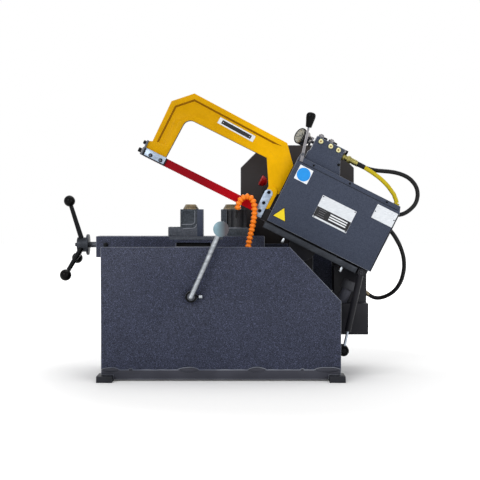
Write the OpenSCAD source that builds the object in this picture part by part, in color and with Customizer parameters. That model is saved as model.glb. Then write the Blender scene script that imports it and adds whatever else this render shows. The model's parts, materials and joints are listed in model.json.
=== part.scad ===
// Hydraulic power hacksaw: a tilting saw arm over a screw vice, on a sheet steel base.
// X runs along the vice, Y away from the operator and Z up. The origin is on the floor,
// in the middle of the four anchor holes. Lengths are in millimetres, angles in degrees.
// The arm's own pieces are drawn about the arm pivot with the blade level, then tilted up.

/* [Base] */
// Length of the base cabinet
base_l = 870; // [840:1:900]
// Depth of the base cabinet
base_d = 400; // [390:1:440]
// Height of the front panel's top edge
base_top = 486; // [484:1:490]
// Thickness of the cabinet sheet
sheet = 4; // [3:0.5:6]
// Height of the base frame under the panels
panel_z = 41; // [36:1:46]
// Length of the front panel's corner cut
cut_l = 186; // [170:1:192]
// Height of the front panel's corner cut
cut_h = 196; // [180:1:200]
// Height of the deck that carries the vice bed
deck_z = 441; // [438:1:442]
// Length of the deck from the left end
deck_l = 675; // [640:1:680]
// Height of the shelf that carries the arm pedestals
shelf_z = 240; // [200:1:250]
// Width of a foot pad
pad_w = 57; // [50:1:64]
// Height of a foot pad
pad_h = 22; // [18:1:28]
// Reach of a foot pad past the cabinet
pad_out = 40; // [34:1:48]
// Length of a foot pad under the cabinet
pad_in = 50; // [40:1:60]
// Reach of a foot pad past the cabinet's end
pad_side = 13; // [8:1:16]
// Diameter of a floor anchor hole
anchor_d = 14; // [10:0.5:18]

/* [Vice] */
// Height of the vice bed's top
bed_top = 520; // [517:1:522]
// Distance of the bed's left end from the middle
bed_x0 = 478; // [470:1:486]
// Distance of the bed's right end from the middle
bed_x1 = 162; // [158:1:166]
// Distance of the bed's front face behind the blade plane
bed_gap = 47; // [46:1:50]
// Depth of the bed
bed_d = 113; // [108:1:116]
// Width of the slot between the bed's two rails
bed_slot = 46; // [42:1:48]
// Thickness of the bed's end block
end_block = 34; // [28:1:38]
// Height of the vice screw's axis
screw_z = 487; // [484:1:490]
// Diameter of the vice screw
screw_d = 22; // [18:0.5:24]
// Opening between the jaws
jaw_gap = 68; // [40:1:72]
// Height of the jaws above the bed
jaw_h = 103; // [95:1:106]
// Depth of the jaws
jaw_d = 100; // [92:1:104]
// Distance of the fixed jaw's face left of the middle
jaw_x = 4; // [0:1:8]
// Thickness of a jaw face plate
jaw_plate = 22; // [16:1:24]
// Length of the moving jaw's upright
jaw_body = 64; // [60:1:70]
// Length of the moving jaw's foot
jaw_foot = 132; // [120:1:140]
// Height of the moving jaw's foot
jaw_foot_h = 35; // [30:1:38]
// Diameter of the foot of a jaw's pivot cap
cap_d = 58; // [50:1:60]
// Height of a jaw's pivot cap
cap_h = 19; // [14:1:22]

/* [Vice handle] */
// Radius from the screw axis to a ball
ball_r = 170; // [150:1:180]
// Diameter of a handle ball
ball_d = 43; // [38:1:46]
// Diameter of a handle arm at the hub
grip_d = 20; // [16:1:22]
// Diameter of the handle hub
hub_d = 56; // [50:1:60]
// Length of the handle hub
hub_l = 44; // [38:1:48]
// Diameter of the flange on the hub
hub_flange_d = 80; // [70:1:86]
// Turn of the first arm from upright
handle_turn = 10; // [0:1:30]

/* [Saw arm] */
// Tilt of the raised arm
arm_tilt = 26.6; // [26:0.1:27]
// Distance of the arm pivot from the middle
pivot_x = 307; // [304:1:310]
// Height of the arm pivot
pivot_z = 480; // [479:1:481]
// Diameter of the pivot shaft
pivot_d = 40; // [34:1:44]
// Length of the arm cover
cover_l = 431; // [425:1:435]
// Height of the arm cover
cover_h = 267; // [262:1:270]
// Height of the cover's lower edge over the pivot
cover_b = 30; // [29:1:32]
// Distance of the cover's left edge from the pivot
cover_a = 169; // [168:1:170]
// Distance of the cover's front in front of the blade plane
cover_front = 35; // [33:1:38]
// Thickness of the cover sheet
cover_t = 3; // [2:0.5:4]
// Thickness of the arm casting
casting_d = 81; // [70:1:84]
// Height of the slide rail under the cover
rail_h = 22; // [18:1:22]
// Length of the ram
ram_l = 350; // [330:1:360]

/* [Bow and blade] */
// Distance of the blade plane in front of the middle
blade_y = 50; // [48:1:52]
// Width of the blade
blade_w = 30; // [26:1:32]
// Thickness of the blade
blade_t = 2; // [1.5:0.1:2.5]
// Height of the blade's teeth over the pivot
blade_b = 38; // [37:1:40]
// Thickness of the bow casting
bow_t = 40; // [36:1:42]
// Length of the bow over its legs
bow_l = 523; // [510:1:530]
// Height of the bow from its feet to its top
bow_h = 262; // [255:1:268]
// Width of the bow's front leg
front_leg = 82; // [70:1:88]
// Width of the bow's rear leg at its foot
rear_leg = 48; // [44:1:52]
// Height of the bow's beam
beam_h = 94; // [80:1:100]
// Width of the raised rim round the bow
rim_w = 19; // [14:1:22]
// Depth of the bow's recessed web
web_in = 8; // [5:0.5:10]

/* [Hydraulics] */
// Outer diameter of the drive cylinder
drive_d = 44; // [40:1:45]
// Bore of the drive cylinder
drive_bore = 34; // [30:1:36]
// Diameter of the drive cylinder's rod
drive_rod = 18; // [14:1:20]
// Outer diameter of the lift cylinder
lift_d = 24; // [20:1:26]
// Bore of the lift cylinder
lift_bore = 16; // [14:0.5:18]
// Diameter of the lift cylinder's rod
lift_rod_d = 10; // [8:0.5:12]
// Length of the lift cylinder's barrel below its eye
lift_l = 226; // [210:1:235]
// Height of the valve block
block_h = 98; // [90:1:105]
// Diameter of the pressure gauge
gauge_d = 63; // [55:1:66]
// Outer diameter of the hydraulic hoses
hose_d = 16; // [12:1:18]
// Outer diameter of the coolant hose over its beads
coolant_d = 20; // [18:1:22]
// Bore of the coolant hose
coolant_bore = 8; // [6:0.5:10]

/* [Length stop] */
// Diameter of the stop rod
stop_d = 19; // [16:1:22]
// Diameter of the stop disc
disc_d = 56; // [48:1:60]
// Distance of the stop's guide left of the middle
stop_x = 108; // [90:1:120]
// Height of the stop's guide
stop_z = 307; // [290:1:320]
// Length of the stop's upright arm
stop_l = 268; // [250:1:275]
// Lean of the stop's upright arm
stop_lean = 24; // [18:1:28]

/* [Rear] */
// Width of the control cabinet
control_w = 451; // [430:1:460]
// Height of the control cabinet's top
control_top = 878; // [840:1:890]
// Depth of the control cabinet
control_d = 90; // [80:1:110]
// Width of the oil tank
tank_w = 126; // [115:1:130]
// Height of the oil tank's top
tank_top = 400; // [390:1:405]
// Height of the oil tank's underside
tank_z = 142; // [130:1:150]

/* [Hidden] */
// Smoothness of round pieces
$fn = 64;
// Overrun of a cut past the face that it opens
over = 1;
// Radial clearance of a shaft in its bush
run_fit = 0.05;
// Clearance of flat sliding faces
slide_fit = 0.4;

// Half sizes of the base
half_l = base_l / 2;
half_d = base_d / 2;
front_y = -half_d;
deck_x1 = deck_l - half_l;
pad_x = half_l + pad_side - pad_w / 2;
pad_y = half_d + pad_out / 2;
anchor_x = pad_x;
anchor_y = pad_y;
frame_w = 60;
frame_z = 6;

// Bed and jaws
bed_y = -blade_y + bed_gap;
bed_mid = bed_y + bed_d / 2;
bed_h = bed_top - deck_z;
slot_x0 = -bed_x0 + end_block;
slot_end = 16;
slot_x1 = -jaw_x - slot_end;
window_x0 = -174;
window_l = 132;
window_drop = 39;
window_z = bed_top - window_drop;
window_h = 15;
window_in = 24;
jaw_face = -jaw_x - jaw_gap;
jaw_left = jaw_face - jaw_plate - jaw_body;
foot_left = jaw_face - jaw_foot;
fixed_l = 98;
fixed_foot = 104;
fixed_foot_h = 32;
column_d = 53;
column_x = 58;
cap_top_share = 0.6;
cap_in = 38;
moving_cap_x = jaw_left + cap_in;
fixed_cap_x = 34;
nut_l = 60;
nut_h = 60;
nut_x = jaw_left + jaw_body / 2;
collar_d = 38;
collar_l = 10;
screw_short = 40;
screw_end = -jaw_x - screw_short;

// Vice handle: the arms lean away from the machine
hub_gap = 34;
hub_x1 = -bed_x0 - hub_gap;
hub_x0 = hub_x1 - hub_l;
flange_l = 8;
arm_root = hub_x1 - hub_l / 2;
ball_out = 48;
ball_x = arm_root - ball_out;
grip_end_share = 0.8;
HANDLE_ARMS = 3;

// Arm: heights are over the pivot, lengths from the pivot
cover_y = -blade_y - cover_front;
casting_y = -6;
casting_a = 135;
casting_drop = 10;
casting_top = cover_b + cover_h - casting_drop;
casting_a1 = cover_l - cover_a;
cover_cut_a = 10;
cover_cut_b = 27;
rail_out = 3;
rail_a = cover_a + rail_out;
rail_l = 385;
rail_in = 3;
rail_front = cover_y + rail_in;
ram_b = rail_h + slide_fit;
blade_gap = 2;
foot_b = blade_b + blade_w + blade_gap;
gib_b = foot_b + slide_fit;
ram_a = 224;
bow_y0 = -blade_y + blade_t / 2;
bow_y1 = bow_y0 + bow_t;
gib_h = 22;
gib_fit = 1;
gib_screw_d = 10;
gib_screw_l = 20;
gib_screw_shares = [0.234, 0.862];
drive_b = 150;
drive_y = (bow_y0 + bow_y1) / 2;
drive_a0 = -110;
drive_a1 = 90;
drive_cap = 26;
drive_end = 14;
drive_half = casting_y - drive_y;
piston_l = 24;
hub_boss_d = 104;
pedestal_w = 90;
pedestal_t = 30;
pedestal_fit = 5;
pedestal_y0 = casting_y + casting_d + pedestal_fit;
pedestal_gap = 70;
pedestal_ys = [pedestal_y0, pedestal_y0 + pedestal_gap];
bush_wall = 5;
shaft_in = 6;
shaft_out = 8;
shaft_y0 = casting_y + shaft_in;
shaft_y1 = pedestal_ys[1] + pedestal_t + shaft_out;

// Bow outline, from its front foot to its rear edge
bow_gap = 3;
bow_a0 = -cover_a - bow_gap - bow_l;
bow_a1 = bow_a0 + bow_l;
bow_top = foot_b + bow_h;
toe_l = 11;
toe_h = 32;
toe_rise = 4;
leg_lean = 3;
throat_in = 4;
front_chamfer_l = 72;
front_chamfer_h = 64;
rear_chamfer_l = 58;
rear_chamfer_h = 65;
rear_drop = 10;
throat_r = 30;
throat_b = bow_top - beam_h;
rear_slope_l = 54;
rear_slope_h = 92;
ARC_STEPS = 6;

// Draws an upright profile of X and Z, t thick, with its front face at y
module plate_xz(y, t) translate([0, y + t, 0]) rotate([90, 0, 0]) linear_extrude(t) children();
// Draws a round bar along X from the origin
module bar_x(d, l) rotate([0, 90, 0]) cylinder(d = d, h = l);
// Draws a round bar along Y from the origin
module bar_y(d, l) rotate([-90, 0, 0]) cylinder(d = d, h = l);
// Places the arm's own pieces at the raised tilt
module on_arm() translate([pivot_x, 0, pivot_z]) rotate([0, arm_tilt, 0]) children();
// Points of an arc about c, from angle a0 to a1
function arc(c, r, a0, a1, n) =
    [for (i = [0:n]) c + r * [cos(a0 + (a1 - a0) * i / n), sin(a0 + (a1 - a0) * i / n)]];
// A point of the arm, given along and over the pivot, in the machine's X and Z
function from_arm(p) = [pivot_x + p[0] * cos(arm_tilt) + p[1] * sin(arm_tilt),
    pivot_z - p[0] * sin(arm_tilt) + p[1] * cos(arm_tilt)];

panel_outline = [[-half_l, panel_z], [half_l, panel_z], [half_l, base_top - cut_h],
    [half_l - cut_l, base_top], [-half_l, base_top]];
guide_d = 41;
guide_out = 20;
guide_in = 60;
sleeve_wall = 4;
sleeve_d = stop_d + 2 * sleeve_wall;

module base_cabinet() color("#3b3d47") difference() {
    union() {
        plate_xz(front_y, sheet) polygon(panel_outline);
        plate_xz(half_d - sheet, sheet) translate([-half_l, panel_z]) square([base_l, base_top - panel_z]);
        translate([-half_l, front_y, panel_z]) cube([sheet, base_d, deck_z - panel_z]);
        translate([half_l - sheet, front_y, panel_z]) cube([sheet, base_d, base_top - cut_h - panel_z]);
        translate([-half_l, front_y, panel_z]) cube([base_l, base_d, sheet]);
        translate([-half_l, front_y, deck_z - sheet]) cube([deck_l, base_d, sheet]);
        translate([deck_x1 - sheet, front_y, panel_z]) cube([sheet, base_d, deck_z - panel_z]);
        translate([deck_x1 - sheet, front_y, shelf_z - sheet])
            cube([half_l - deck_x1 + sheet, base_d, sheet]);
    }
    translate([-stop_x, front_y - over, stop_z]) bar_y(guide_d, sheet + 2 * over);
}

module pads_all() for (sx = [-1, 1], sy = [-1, 1])
    translate([sx * pad_x - pad_w / 2, sy * pad_y - (sy > 0 ? pad_in + pad_out / 2 : pad_out / 2), 0])
        cube([pad_w, pad_in + pad_out, pad_h]);

module base_frame() color("#26282c") difference() {
    translate([-half_l, -half_d, frame_z]) cube([base_l, base_d, panel_z - frame_z]);
    translate([-half_l + frame_w, -half_d + frame_w, frame_z - over])
        cube([base_l - 2 * frame_w, base_d - 2 * frame_w, panel_z - frame_z + 2 * over]);
    pads_all();
}

module foot_pads() color("#2c2e33") difference() {
    pads_all();
    for (sx = [-1, 1], sy = [-1, 1]) translate([sx * anchor_x, sy * anchor_y, -over])
        cylinder(d = anchor_d, h = pad_h + 2 * over);
}

module pivot_pedestals() color("#1f2023") for (y = pedestal_ys) plate_xz(y, pedestal_t) difference() {
    union() {
        translate([pivot_x - pedestal_w / 2, shelf_z]) square([pedestal_w, pivot_z - shelf_z]);
        translate([pivot_x, pivot_z]) circle(d = pedestal_w);
    }
    translate([pivot_x, pivot_z]) circle(d = pivot_d + 2 * bush_wall);
}

module pivot_bushes() color("#b08a3e") for (y = pedestal_ys) plate_xz(y, pedestal_t)
    translate([pivot_x, pivot_z]) difference() {
        circle(d = pivot_d + 2 * bush_wall);
        circle(d = pivot_d + 2 * run_fit);
    }

module pivot_shaft() color("#9a9c9f") translate([pivot_x, shaft_y0, pivot_z])
    bar_y(pivot_d, shaft_y1 - shaft_y0);

module vice_bed() color("#33353d") difference() {
    translate([-bed_x0, bed_y, deck_z]) cube([bed_x0 + bed_x1, bed_d, bed_h]);
    translate([slot_x0, bed_mid - bed_slot / 2, deck_z - over])
        cube([slot_x1 - slot_x0, bed_slot, bed_h + 2 * over]);
    translate([window_x0, bed_y - over, window_z]) cube([window_l, window_in + over, window_h]);
    translate([-bed_x0 - over, bed_mid, screw_z]) bar_x(screw_d + 2 * run_fit, end_block + 2 * over);
}

column_in = 1;
column_y = bed_y + column_d / 2 + column_in;
fixed_back = 15;

module fixed_jaw() color("#2f3036") {
    translate([-jaw_x + jaw_plate, bed_y + fixed_back, bed_top])
        cube([fixed_l - jaw_plate, jaw_d - fixed_back, jaw_h]);
    translate([column_x, column_y, bed_top]) cylinder(d = column_d, h = jaw_h);
    translate([-jaw_x + jaw_plate, bed_y, bed_top]) cube([fixed_foot - jaw_plate, jaw_d, fixed_foot_h]);
}

module fixed_jaw_plate() color("#35373d") translate([-jaw_x, bed_y, bed_top])
    cube([jaw_plate, jaw_d, jaw_h]);

module pivot_cap(x) translate([x, bed_mid, bed_top + jaw_h])
    cylinder(d1 = cap_d, d2 = cap_d * cap_top_share, h = cap_h);

module fixed_jaw_cap() color("#b8a37a") pivot_cap(fixed_cap_x);

panel_in = 3;
panel_edge = 10;

module moving_jaw() color("#3a3d46") translate([0, 0, slide_fit]) difference() {
    union() {
        translate([foot_left, bed_y, bed_top]) cube([jaw_foot - jaw_plate, jaw_d, jaw_foot_h]);
        translate([jaw_left, bed_y, bed_top]) cube([jaw_body, jaw_d, jaw_h - slide_fit]);
    }
    translate([jaw_left + panel_edge, bed_y - over, bed_top + jaw_foot_h + panel_edge])
        cube([jaw_body - 2 * panel_edge, panel_in + over, jaw_h - jaw_foot_h - 2 * panel_edge]);
}

module moving_jaw_plate() color("#3f424b") translate([jaw_face - jaw_plate, bed_y, bed_top + slide_fit])
    cube([jaw_plate, jaw_d, jaw_h - slide_fit]);

module moving_jaw_cap() color("#b8a37a") pivot_cap(moving_cap_x);

module vice_nut() color("#6d6f73") difference() {
    translate([nut_x - nut_l / 2, bed_mid - bed_slot / 2 + slide_fit, bed_top + slide_fit - nut_h])
        cube([nut_l, bed_slot - 2 * slide_fit, nut_h]);
    translate([nut_x - nut_l / 2 - over, bed_mid, screw_z]) bar_x(screw_d + 2 * run_fit, nut_l + 2 * over);
}

module vice_screw() color("#55575b") translate([0, bed_mid, screw_z]) {
    translate([hub_x1, 0, 0]) bar_x(screw_d, screw_end - hub_x1);
    translate([slot_x0 + slide_fit, 0, 0]) bar_x(collar_d, collar_l);
}

grip_l = sqrt(pow(ball_r, 2) + pow(arm_root - ball_x, 2));
grip_lean = atan2(arm_root - ball_x, ball_r);
grip_seat = ball_d / 4;

module at_grips() translate([arm_root, bed_mid, screw_z]) for (i = [0:HANDLE_ARMS - 1])
    rotate([handle_turn + i * 360 / HANDLE_ARMS, 0, 0]) rotate([0, -grip_lean, 0]) children();

module grip() cylinder(d1 = grip_d, d2 = grip_d * grip_end_share, h = grip_l - grip_seat);

module vice_handle() color("#222326") {
    translate([hub_x0, bed_mid, screw_z]) bar_x(hub_d, hub_l);
    translate([hub_x1 - flange_l, bed_mid, screw_z]) bar_x(hub_flange_d, flange_l);
    at_grips() grip();
}

module handle_balls() color("#131416") at_grips() difference() {
    translate([0, 0, grip_l]) sphere(d = ball_d);
    grip();
}

control_x = 71;
control_z = 300;
control_cut = 90;
control_wall = 2;
control_outline = [[0, control_z], [control_w, control_z], [control_w, control_top - control_cut],
    [control_w - control_cut, control_top], [control_cut, control_top], [0, control_top - control_cut]];

module control_cabinet() color("#2b2c30") translate([control_x, 0, 0]) difference() {
    plate_xz(half_d, control_d) polygon(control_outline);
    translate([control_wall, half_d + control_wall, control_z + control_wall])
        cube([control_w - 2 * control_wall, control_d - 2 * control_wall,
            control_top - control_cut - control_z - control_wall]);
}

tank_y0 = 30;
tank_gap = 4;
tank_y1 = half_d - tank_gap;
tank_front = 100;
step_z = 262;
tank_wall = 3;

module oil_tank() color("#1d1e21") translate([half_l, 0, 0]) difference() {
    union() {
        translate([0, tank_y0, tank_z]) cube([tank_w, tank_y1 - tank_y0, step_z - tank_z]);
        translate([0, tank_front, tank_z]) cube([tank_w, tank_y1 - tank_front, tank_top - tank_z]);
    }
    translate([tank_wall, tank_y0 + tank_wall, tank_z + tank_wall])
        cube([tank_w - 2 * tank_wall, tank_y1 - tank_y0 - 2 * tank_wall, step_z - tank_z - 2 * tank_wall]);
    translate([tank_wall, tank_front + tank_wall, tank_z + tank_wall])
        cube([tank_w - 2 * tank_wall, tank_y1 - tank_front - 2 * tank_wall,
            tank_top - tank_z - 2 * tank_wall]);
}

filler_out = 24;
filler_in = 36;
filler_x = half_l + filler_out;
filler_y = tank_y0 + filler_in;
filler_lean = 25;
neck_d = 38;
neck_h = 72;
// Part of the leaning neck that the tank's flat step cuts off
neck_root = neck_d / 2 * tan(filler_lean);
filler_cap_d = 56;
filler_cap_h = 34;
thread_h = 14;

module at_filler() translate([filler_x, filler_y, step_z]) rotate([0, filler_lean, 0]) children();

module filler_neck() color("#222327") intersection() {
    at_filler() translate([0, 0, -neck_root]) cylinder(d = neck_d, h = neck_h + neck_root);
    translate([half_l, tank_y0, step_z]) cube([tank_w, tank_front - tank_y0, neck_h + neck_d]);
}

module filler_cap() color("#18191b") at_filler() translate([0, 0, neck_h - thread_h]) difference() {
    cylinder(d = filler_cap_d, h = filler_cap_h);
    translate([0, 0, -over]) cylinder(d = neck_d + 2 * run_fit, h = thread_h + over);
}

port_d = 18;
tank_port_l = 16;
tank_port_y = 130;
tank_port_z = 297;
tank_port_dip = 35;
// Part of the dipping port that the tank's wall cuts off
tank_port_root = port_d / 2 * tan(tank_port_dip);

module tank_fitting() color("#8a6a42")
    translate([half_l + tank_w, tank_port_y, tank_port_z]) intersection() {
        rotate([0, tank_port_dip, 0]) translate([-tank_port_root, 0, 0])
            bar_x(port_d, tank_port_l + tank_port_root);
        translate([0, -port_d, -port_d - tank_port_l])
            cube([tank_port_l + port_d, 2 * port_d, 2 * port_d + tank_port_l]);
    }

motor_d = 140;
motor_l = 150;
motor_gap = 20;
motor_rise = 78;
motor_x = deck_x1 + motor_gap;
motor_z = panel_z + sheet + motor_rise;
motor_foot_w = 120;
pump_d = 90;
pump_l = 18;

module pump_motor() color("#4a5a68") {
    translate([motor_x, 0, motor_z]) bar_x(motor_d, motor_l);
    translate([motor_x, -motor_foot_w / 2, panel_z + sheet])
        cube([motor_l, motor_foot_w, motor_z - panel_z - sheet]);
}

module hydraulic_pump() color("#5c5e62") translate([motor_x + motor_l, 0, motor_z]) bar_x(pump_d, pump_l);

// Arm casting: a plate with a deep rim, the pivot boss and the lift cylinder's pin
casting_web = 12;
casting_rim = 20;
pocket_b = 64;
lift_a = 233;
lift_b = 12;
lift_y = -62;
eye_side = 1;
eye_w = lift_d + 2 * eye_side;
eye_d = 28;
pin_d = 12;
pin_end = 4;
bracket_w = 24;
bracket_fit = 2;
bracket_y = lift_y + eye_w / 2 + bracket_fit;

module arm_casting() color("#26272b") on_arm() difference() {
    union() {
        translate([-casting_a, casting_y, 0]) cube([casting_a + casting_a1, casting_d, casting_top]);
        translate([0, casting_y, 0]) bar_y(hub_boss_d, casting_d);
        translate([lift_a - bracket_w / 2, bracket_y, lift_b - bracket_w / 2])
            cube([bracket_w, casting_y - bracket_y, bracket_w]);
        translate([lift_a, lift_y - eye_w / 2 - pin_end, lift_b])
            bar_y(pin_d, bracket_y - lift_y + eye_w / 2 + pin_end);
    }
    translate([-casting_a + casting_rim, casting_y + casting_web, pocket_b])
        cube([casting_a + casting_a1 - 2 * casting_rim, casting_d, casting_top - pocket_b - casting_rim]);
    translate([0, shaft_y0, 0]) bar_y(pivot_d, casting_d);
}

cover_end = cover_l - cover_a;
cover_top = cover_b + cover_h;
cover_depth = casting_y - cover_y;
ram_door = 48;
rod_hole = 8;

module cover_profile(t) polygon([[-cover_a + t, cover_b - (t > 0 ? over : 0)],
    [cover_end - t, cover_b - (t > 0 ? over : 0)], [cover_end - t, cover_top - cover_cut_b],
    [cover_end - t - cover_cut_a, cover_top - t], [-cover_a + t, cover_top - t]]);

module arm_cover() color("#41444e") on_arm() difference() {
    plate_xz(cover_y, cover_depth) cover_profile(0);
    plate_xz(cover_y + cover_t, cover_depth) cover_profile(cover_t);
    translate([-cover_a - over, cover_y + cover_t, cover_b - over])
        cube([cover_t + 2 * over, cover_depth, ram_door + over]);
    translate([-cover_a - over, drive_y, drive_b]) bar_x(drive_rod + rod_hole, cover_t + 2 * over);
}

module slide_rail() color("#5d6067") on_arm() translate([-rail_a, rail_front, 0])
    cube([rail_l, casting_y - rail_front, rail_h]);

module upper_gib() color("#5d6067") on_arm() translate([-cover_a + cover_t + gib_fit, bow_y0, gib_b])
    cube([rail_l - cover_t, casting_y - bow_y0, gib_h]);

gib_screw_in = 12;
gib_screw_y = rail_front + gib_screw_in;

module gib_screws() color("#c9ccd0") on_arm() for (share = gib_screw_shares)
    translate([share * rail_l - rail_a, gib_screw_y, -gib_screw_l])
        cylinder(d = gib_screw_d, h = gib_screw_l);

module drive_cylinder() color("#34363b") on_arm() translate([0, drive_y, drive_b]) difference() {
    union() {
        translate([drive_a0, 0, 0]) bar_x(drive_d, drive_a1 - drive_a0);
        for (a = [drive_a0, drive_a1 - drive_cap])
            translate([a, -drive_half, -drive_half]) cube([drive_cap, 2 * drive_half, 2 * drive_half]);
    }
    translate([drive_a0 + drive_cap, 0, 0]) bar_x(drive_bore, drive_a1 - drive_a0 - 2 * drive_cap);
    translate([drive_a0 - over, 0, 0]) bar_x(drive_rod + 2 * run_fit, drive_cap + 2 * over);
}

piston_a = drive_a1 - drive_cap - drive_end - piston_l;

module drive_piston() color("#c4c7cb") on_arm() translate([0, drive_y, drive_b]) {
    translate([bow_a1, 0, 0]) bar_x(drive_rod, piston_a - bow_a1);
    translate([piston_a, 0, 0]) bar_x(drive_bore - 2 * run_fit, piston_l);
}

module ram() color("#17181a") on_arm() translate([-ram_a, bow_y0, ram_b])
    cube([ram_l, bow_t, foot_b - ram_b]);

// Relief at the heel of the rear leg, beside the cover
heel_h = 68;
heel_in = 7;
bow_outline = concat([[bow_a0, foot_b], [bow_a0, foot_b + toe_h - toe_rise],
    [bow_a0 + toe_l, foot_b + toe_h], [bow_a0 + toe_l - leg_lean, bow_top - front_chamfer_h],
    [bow_a0 + front_chamfer_l, bow_top], [bow_a1 - rear_chamfer_l, bow_top - rear_drop],
    [bow_a1, bow_top - rear_drop - rear_chamfer_h],
    [bow_a1, foot_b + heel_h], [bow_a1 - heel_in, foot_b + heel_h - heel_in], [bow_a1 - heel_in, foot_b],
    [bow_a1 - rear_leg, foot_b], [bow_a1 - rear_leg, throat_b - rear_slope_h],
    [bow_a1 - rear_leg - rear_slope_l, throat_b]],
    arc([bow_a0 + front_leg + throat_in + throat_r, throat_b - throat_r], throat_r, 90, 180, ARC_STEPS),
    [[bow_a0 + front_leg, foot_b]]);

web_ridge = 26;
web_outline = [[bow_a0 + toe_l + rim_w, foot_b + toe_h + rim_w],
    [bow_a0 + toe_l + rim_w - leg_lean, bow_top - front_chamfer_h - rim_w / 2],
    [bow_a0 + front_chamfer_l + rim_w / 2, bow_top - rim_w],
    [bow_a1 - rear_chamfer_l - rim_w / 2, bow_top - rear_drop - rim_w],
    [bow_a1 - rear_chamfer_l - rim_w / 2, throat_b + web_ridge],
    [bow_a0 + front_leg + throat_r, throat_b + web_ridge],
    [bow_a0 + front_leg - web_ridge, throat_b - throat_r],
    [bow_a0 + front_leg - web_ridge, foot_b + toe_h + rim_w]];

module bow() color("#e6ac00") on_arm() difference() {
    plate_xz(bow_y0, bow_t) polygon(bow_outline);
    plate_xz(bow_y0 - over, web_in + over) polygon(web_outline);
    plate_xz(bow_y1 - web_in, web_in + over) polygon(web_outline);
}

blade_l = 480;
blade_in = 7;
blade_a0 = bow_a0 + blade_in;
plate_t = 6;
plate_y = -blade_y - blade_t / 2 - plate_t;
holder_l = 84;
end_plate = 7;
pad_gap = 2;
end_plate_h = foot_b - blade_b + toe_h - toe_rise;

module saw_blade() color("#a80f1c") on_arm() translate([blade_a0, -blade_y - blade_t / 2, blade_b])
    cube([blade_l, blade_t, blade_w]);

module front_holder() color("#8d9096") on_arm() {
    translate([bow_a0, bow_y0, blade_b]) cube([holder_l + pad_gap, bow_t, foot_b - blade_b]);
    translate([bow_a0 - end_plate, plate_y, blade_b]) cube([end_plate, bow_y1 - plate_y, end_plate_h]);
    translate([bow_a0 + pad_gap, plate_y, blade_b]) cube([holder_l, plate_t, blade_w]);
}

rear_plate_w = 31;
rear_plate_h = 97;
rear_plate_in = 52;
rear_plate_up = 2;
spacer_in = 4;
rear_plate_a = bow_a1 - rear_plate_in;
rear_plate_b = blade_b + rear_plate_up;

// Height of the rear plate up to its round end
rear_plate_side = rear_plate_h - rear_plate_w / 2;

module rear_clamp() color("#a4a8ae") on_arm() {
    translate([rear_plate_a, plate_y, rear_plate_b]) {
        cube([rear_plate_w, plate_t, rear_plate_side]);
        translate([rear_plate_w / 2, 0, rear_plate_side]) bar_y(rear_plate_w, plate_t);
    }
    translate([rear_plate_a + spacer_in, plate_y + plate_t, foot_b])
        cube([rear_plate_w - spacer_in, blade_t, rear_plate_side + rear_plate_b - foot_b]);
}

head_d = 13;
head_h = 5;
// Places of the screws along the front plate, up the rear plate and up the end plate
front_screw_shares = [0.26, 0.76];
rear_screw_shares = [0.093, 0.433, 0.887];
tension_shares = [0.267, 0.833];
bolt_head = 10;

module clamp_screws() color("#1b1c1e") on_arm() {
    for (share = front_screw_shares)
        translate([bow_a0 + pad_gap + share * holder_l, plate_y - head_h, blade_b + blade_w / 2])
            bar_y(head_d, head_h);
    for (share = rear_screw_shares)
        translate([rear_plate_a + rear_plate_w / 2, plate_y - head_h, rear_plate_b + share * rear_plate_h])
            bar_y(head_d, head_h);
    for (share = tension_shares)
        translate([bow_a0 - end_plate - bolt_head, drive_y, blade_b + share * end_plate_h])
            bar_x(head_d, bolt_head);
}

// Valve block and what is on it, on top of the cover
block_in = 13;
block_back = 2;
block_y0 = cover_y + block_in;
block_y1 = casting_y - block_back;
block_a0 = -148;
block_a1 = 0;
block_l = block_a1 - block_a0;
block_top = cover_top + block_h;
block_step = 6;
block_foot = 34;
block_slope_l = 27;
block_slope_h = 16;
plug_d = 18;
plug_h = 6;
plug_drop = 14;
plug_shares = [0.182, 0.459, 0.676];
top_cap_shares = [0.182, 0.453];
top_cap_d = 24;
top_cap_h = 12;

module valve_block() color("#33353c") on_arm() plate_xz(block_y0, block_y1 - block_y0)
    polygon([[block_a0, cover_top], [block_a1, cover_top], [block_a1, block_top - block_slope_h],
        [block_a1 - block_slope_l, block_top], [block_a0 + block_step, block_top],
        [block_a0 + block_step, cover_top + block_foot + block_step], [block_a0, cover_top + block_foot]]);

module valve_plugs() color("#c9a44a") on_arm() {
    for (share = plug_shares)
        translate([block_a0 + share * block_l, block_y0 - plug_h, block_top - plug_drop])
            bar_y(plug_d, plug_h);
    for (share = top_cap_shares)
        translate([block_a0 + share * block_l, (block_y0 + block_y1) / 2, block_top])
            cylinder(d = top_cap_d, h = top_cap_h);
}

gauge_a = -189;
gauge_y = -28;
gauge_drop = 26;
gauge_b = block_top - gauge_drop;
gauge_l = 28;
gauge_turn = -53;
stem_d = 14;

module pressure_gauge() color("#c3c6ca") on_arm() translate([gauge_a, gauge_y, gauge_b]) {
    rotate([0, 0, gauge_turn]) translate([0, -gauge_l / 2, 0]) bar_y(gauge_d, gauge_l);
    bar_x(stem_d, block_a0 + block_step - gauge_a);
}

lever_a = -160;
lever_up = 10;
lever_b = cover_top + lever_up;
lever_pin = 6;
lever_in = 1;
lever_y0 = cover_y + lever_in;
lever_base = 2;
ear_gap = 1;
ear_t = 6;
ear_w = 16;
eye_l = 13;
lever_lean = 14.4;
lever_d = 8;
lever_l = 103;
knob_l = 57;
knob_d0 = 22;
knob_d1 = 36;

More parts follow.
